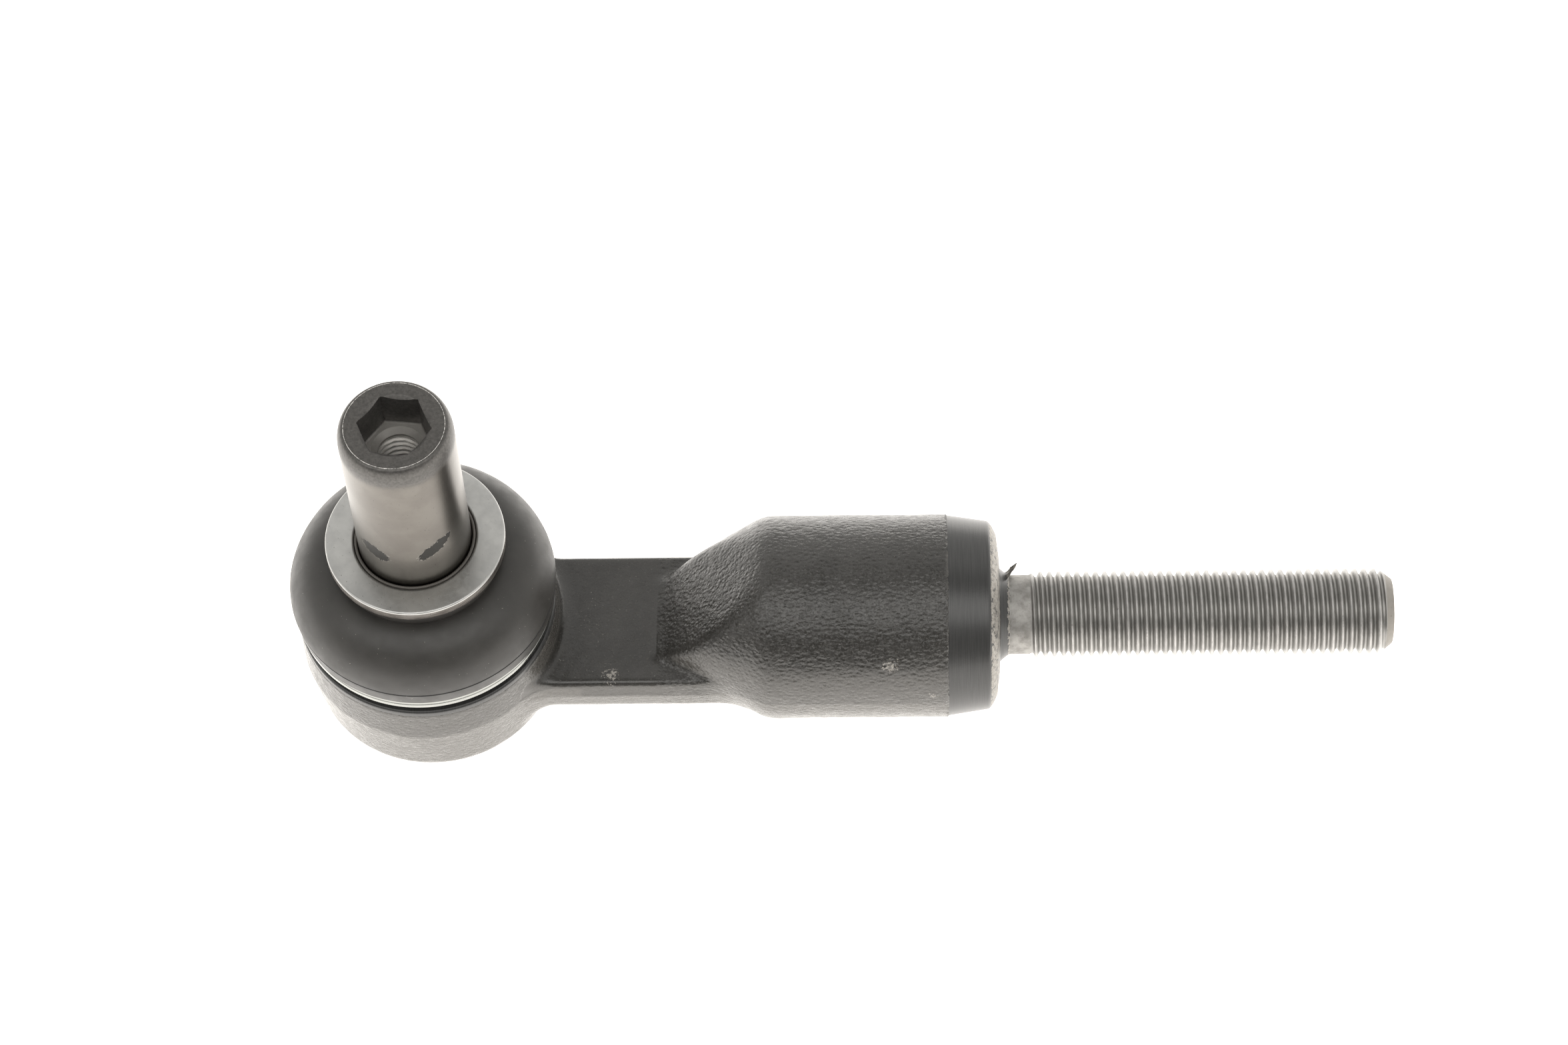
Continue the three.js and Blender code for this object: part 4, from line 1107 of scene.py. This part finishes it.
def plated_steel():
    """Zinc-plated pressed steel, a little clouded."""
    f = Finish("plated_steel", Metallic=1.0)
    cloud = f.ramp(f.noise(2.6, 5, 0.7), 0.3, 0.7)
    f.set("Base Color", f.mix(cloud, (0.40, 0.40, 0.385), (0.56, 0.56, 0.545)))
    f.set("Roughness", f.ramp(f.noise(0.7, 4, 0.7), 0.3, 0.7, 0.34, 0.5))
    f.bump((f.noise(0.5, 4, 0.65), 0.012))
    return f.material


def moulded_race():
    """Natural moulded plastic, faintly mottled."""
    f = Finish("moulded_race", Specular_IOR_Level=0.45)
    f.set("Base Color", f.mix(f.ramp(f.noise(4, 3), 0.3, 0.7), (0.76, 0.73, 0.65), (0.84, 0.81, 0.74)))
    f.set("Roughness", f.ramp(f.noise(0.9, 3), 0.3, 0.7, 0.38, 0.5))
    f.bump((f.noise(0.4, 3), 0.006))
    return f.material


# ---- assembly ----
def fit_out(piece, finish, body, slot, *nodes):
    """Gives a piece its finish and its body, and hides the CAD nodes that it stands for."""
    piece.data.materials.append(finish)
    if "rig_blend" not in piece:
        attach(piece, body)
    if nodes:
        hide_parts(*nodes)


skin = forged_skin()
paint = machined_paint()
steel = rolled_steel()
rubber = moulded_rubber("boot_rubber", (0.027, 0.0255, 0.0232))
seal = moulded_rubber("seal_rubber", (0.018, 0.018, 0.018), dust=False)
elastomer = moulded_rubber("preload_elastomer", (0.16, 0.09, 0.045), dust=False)
race = moulded_race()
ring_finish = bright_ring()

fit_out(make_forging(), skin, "housing", "painted_forging", "forged_housing")
fit_out(make_neck(), paint, "housing", "painted_forging", "forged_housing")
fit_out(make_rolled_lip(), skin, "housing", "painted_forging", "forged_housing")
fit_out(make_boss_end(), paint, "housing", "painted_forging", "forged_housing")
fit_out(make_shank(), steel, "housing", "painted_forging", "forged_housing")
for curl in ((24, 74, 2.1, 1.5), (128, 150, 0.9, 0.8)):
    fit_out(make_paint_curl(*curl), paint, "housing", "painted_forging")
fit_out(make_plate(), plated_steel(), "housing", "plate_steel", "closing_plate")
fit_out(make_upper_race(), race, "housing", "race_plastic", "upper_bearing_shell")
fit_out(make_lower_race(), race, "housing", "race_plastic", "lower_bearing_shell")
preload_ring = make_soft_ring("preload", preload_low, preload_high, 2.9)
fit_out(preload_ring, elastomer, "housing", "preload_elastomer", "preload_ring")
fit_out(make_soft_ring("seal", seal_low, seal_high, 1.1), seal, "housing", "seal_rubber", "cover_seal_ring")
fit_out(make_clamp_ring(), ring_finish, "housing", "ring_steel", "boot_clamp_ring")
fit_out(make_boot(), rubber, "boot", "boot_rubber", "dust_boot")
fit_out(make_mouth_ring(), ring_finish, "collar", "ring_steel", "boot_mouth_ring")
fit_out(make_stud(), ground_pin(), "stud", "ground_steel", "ball_stud")
fit_out(make_washer(), satin_washer(), "stud", "washer_steel", "thrust_washer")


# ---- stage ----
FLOOR_GLOW = 1.6
FLOOR_SEEN = 1.0
FLOOR_SIZE = 6.0


def make_floor():
    """A pale sheet just under the lowest point, lit from within like a light table."""
    low = (housing_low[2] - 0.5) * MM
    edge = FLOOR_SIZE / 2
    corners = [(-edge, -edge, low), (edge, -edge, low), (edge, edge, low), (-edge, edge, low)]
    mesh = bpy.data.meshes.new("floor")
    mesh.from_pydata(corners, [], [(0, 1, 2, 3)])
    floor = bpy.data.objects.new("floor", mesh)
    bpy.context.scene.collection.objects.link(floor)
    sockets = {"Base_Color": (0.9, 0.9, 0.9, 1), "Roughness": 0.9, "Emission_Color": (1.0, 0.96, 0.91, 1)}
    f = Finish("pale_floor", **sockets)
    seen = f.node("LightPath").outputs["Is Camera Ray"]
    glow = f.node("MapRange", {"Value": seen, "To Min": FLOOR_GLOW, "To Max": FLOOR_SEEN})
    f.set("Emission Strength", glow.outputs[0])
    mesh.materials.append(f.material)


# the room's brightness by the angle from overhead, in degrees: behind the object is negative, in front positive
ROOM = ((-180, 1.0), (-26, 1.05), (-18, 0.25), (3, 0.2), (10, 2.6), (36, 2.6), (44, 0.16), (90, 0.12), (180, 0.12))
SIDE_WALLS = 0.9
ROOM_SEEN = 0.95
BRIGHTEST = 4.0


def light_room():
    """White walls behind and at the sides, a strip of soft light just in front of overhead, and a dark front."""
    world = bpy.data.worlds.new("studio")
    bpy.context.scene.world = world
    world.use_nodes = True
    tree = world.node_tree
    background = tree.nodes["Background"]

    def node(kind, links, output=0, **settings):
        made = tree.nodes.new("ShaderNode" + kind)
        for key, value in settings.items():
            setattr(made, key, value)
        for key, value in links.items():
            if isinstance(value, bpy.types.NodeSocket):
                tree.links.new(value, made.inputs[key])
            else:
                made.inputs[key].default_value = value
        return made.outputs[output]

    direction = tree.nodes.new("ShaderNodeTexCoord").outputs["Generated"]
    parts = tree.nodes.new("ShaderNodeSeparateXYZ")
    tree.links.new(direction, parts.inputs[0])
    x, y, z = parts.outputs
    front = node("Math", {0: y, 1: -1.0}, operation="MULTIPLY")
    angle = node("Math", {0: front, 1: z}, operation="ARCTAN2")
    share = node("MapRange", {"Value": angle, "From Min": -math.pi, "From Max": math.pi})
    ramp = tree.nodes.new("ShaderNodeValToRGB")
    tree.links.new(share, ramp.inputs[0])
    stops = ramp.color_ramp.elements
    stops[0].position, stops[1].position = 0, 1
    for degrees, _ in ROOM[1:-1]:
        stops.new((degrees + 180) / 360)
    for stop, (_, level) in zip(stops, ROOM):
        stop.color = (level / BRIGHTEST,) * 3 + (1,)
    room = node("Math", {0: ramp.outputs[0], 1: BRIGHTEST}, operation="MULTIPLY")
    across = node("Math", {0: x}, operation="ABSOLUTE")
    beside = node("MapRange", {"Value": across, "From Min": 0.55, "From Max": 0.85}, interpolation_type="SMOOTHSTEP")
    behind = node("MapRange", {"Value": y, "From Min": -0.5, "From Max": -0.1}, interpolation_type="SMOOTHSTEP")
    walls = node("Math", {0: beside, 1: behind}, operation="MULTIPLY")
    light = node("Mix", {"Factor": walls, "A": room, "B": SIDE_WALLS})
    seen = tree.nodes.new("ShaderNodeLightPath").outputs["Is Camera Ray"]
    strength = node("Mix", {"Factor": seen, "A": light, "B": ROOM_SEEN})
    tree.links.new(strength, background.inputs["Strength"])
    background.inputs["Color"].default_value = (1.0, 0.985, 0.955, 1)


make_floor()
light_room()
bpy.context.scene.view_settings.view_transform = "Standard"
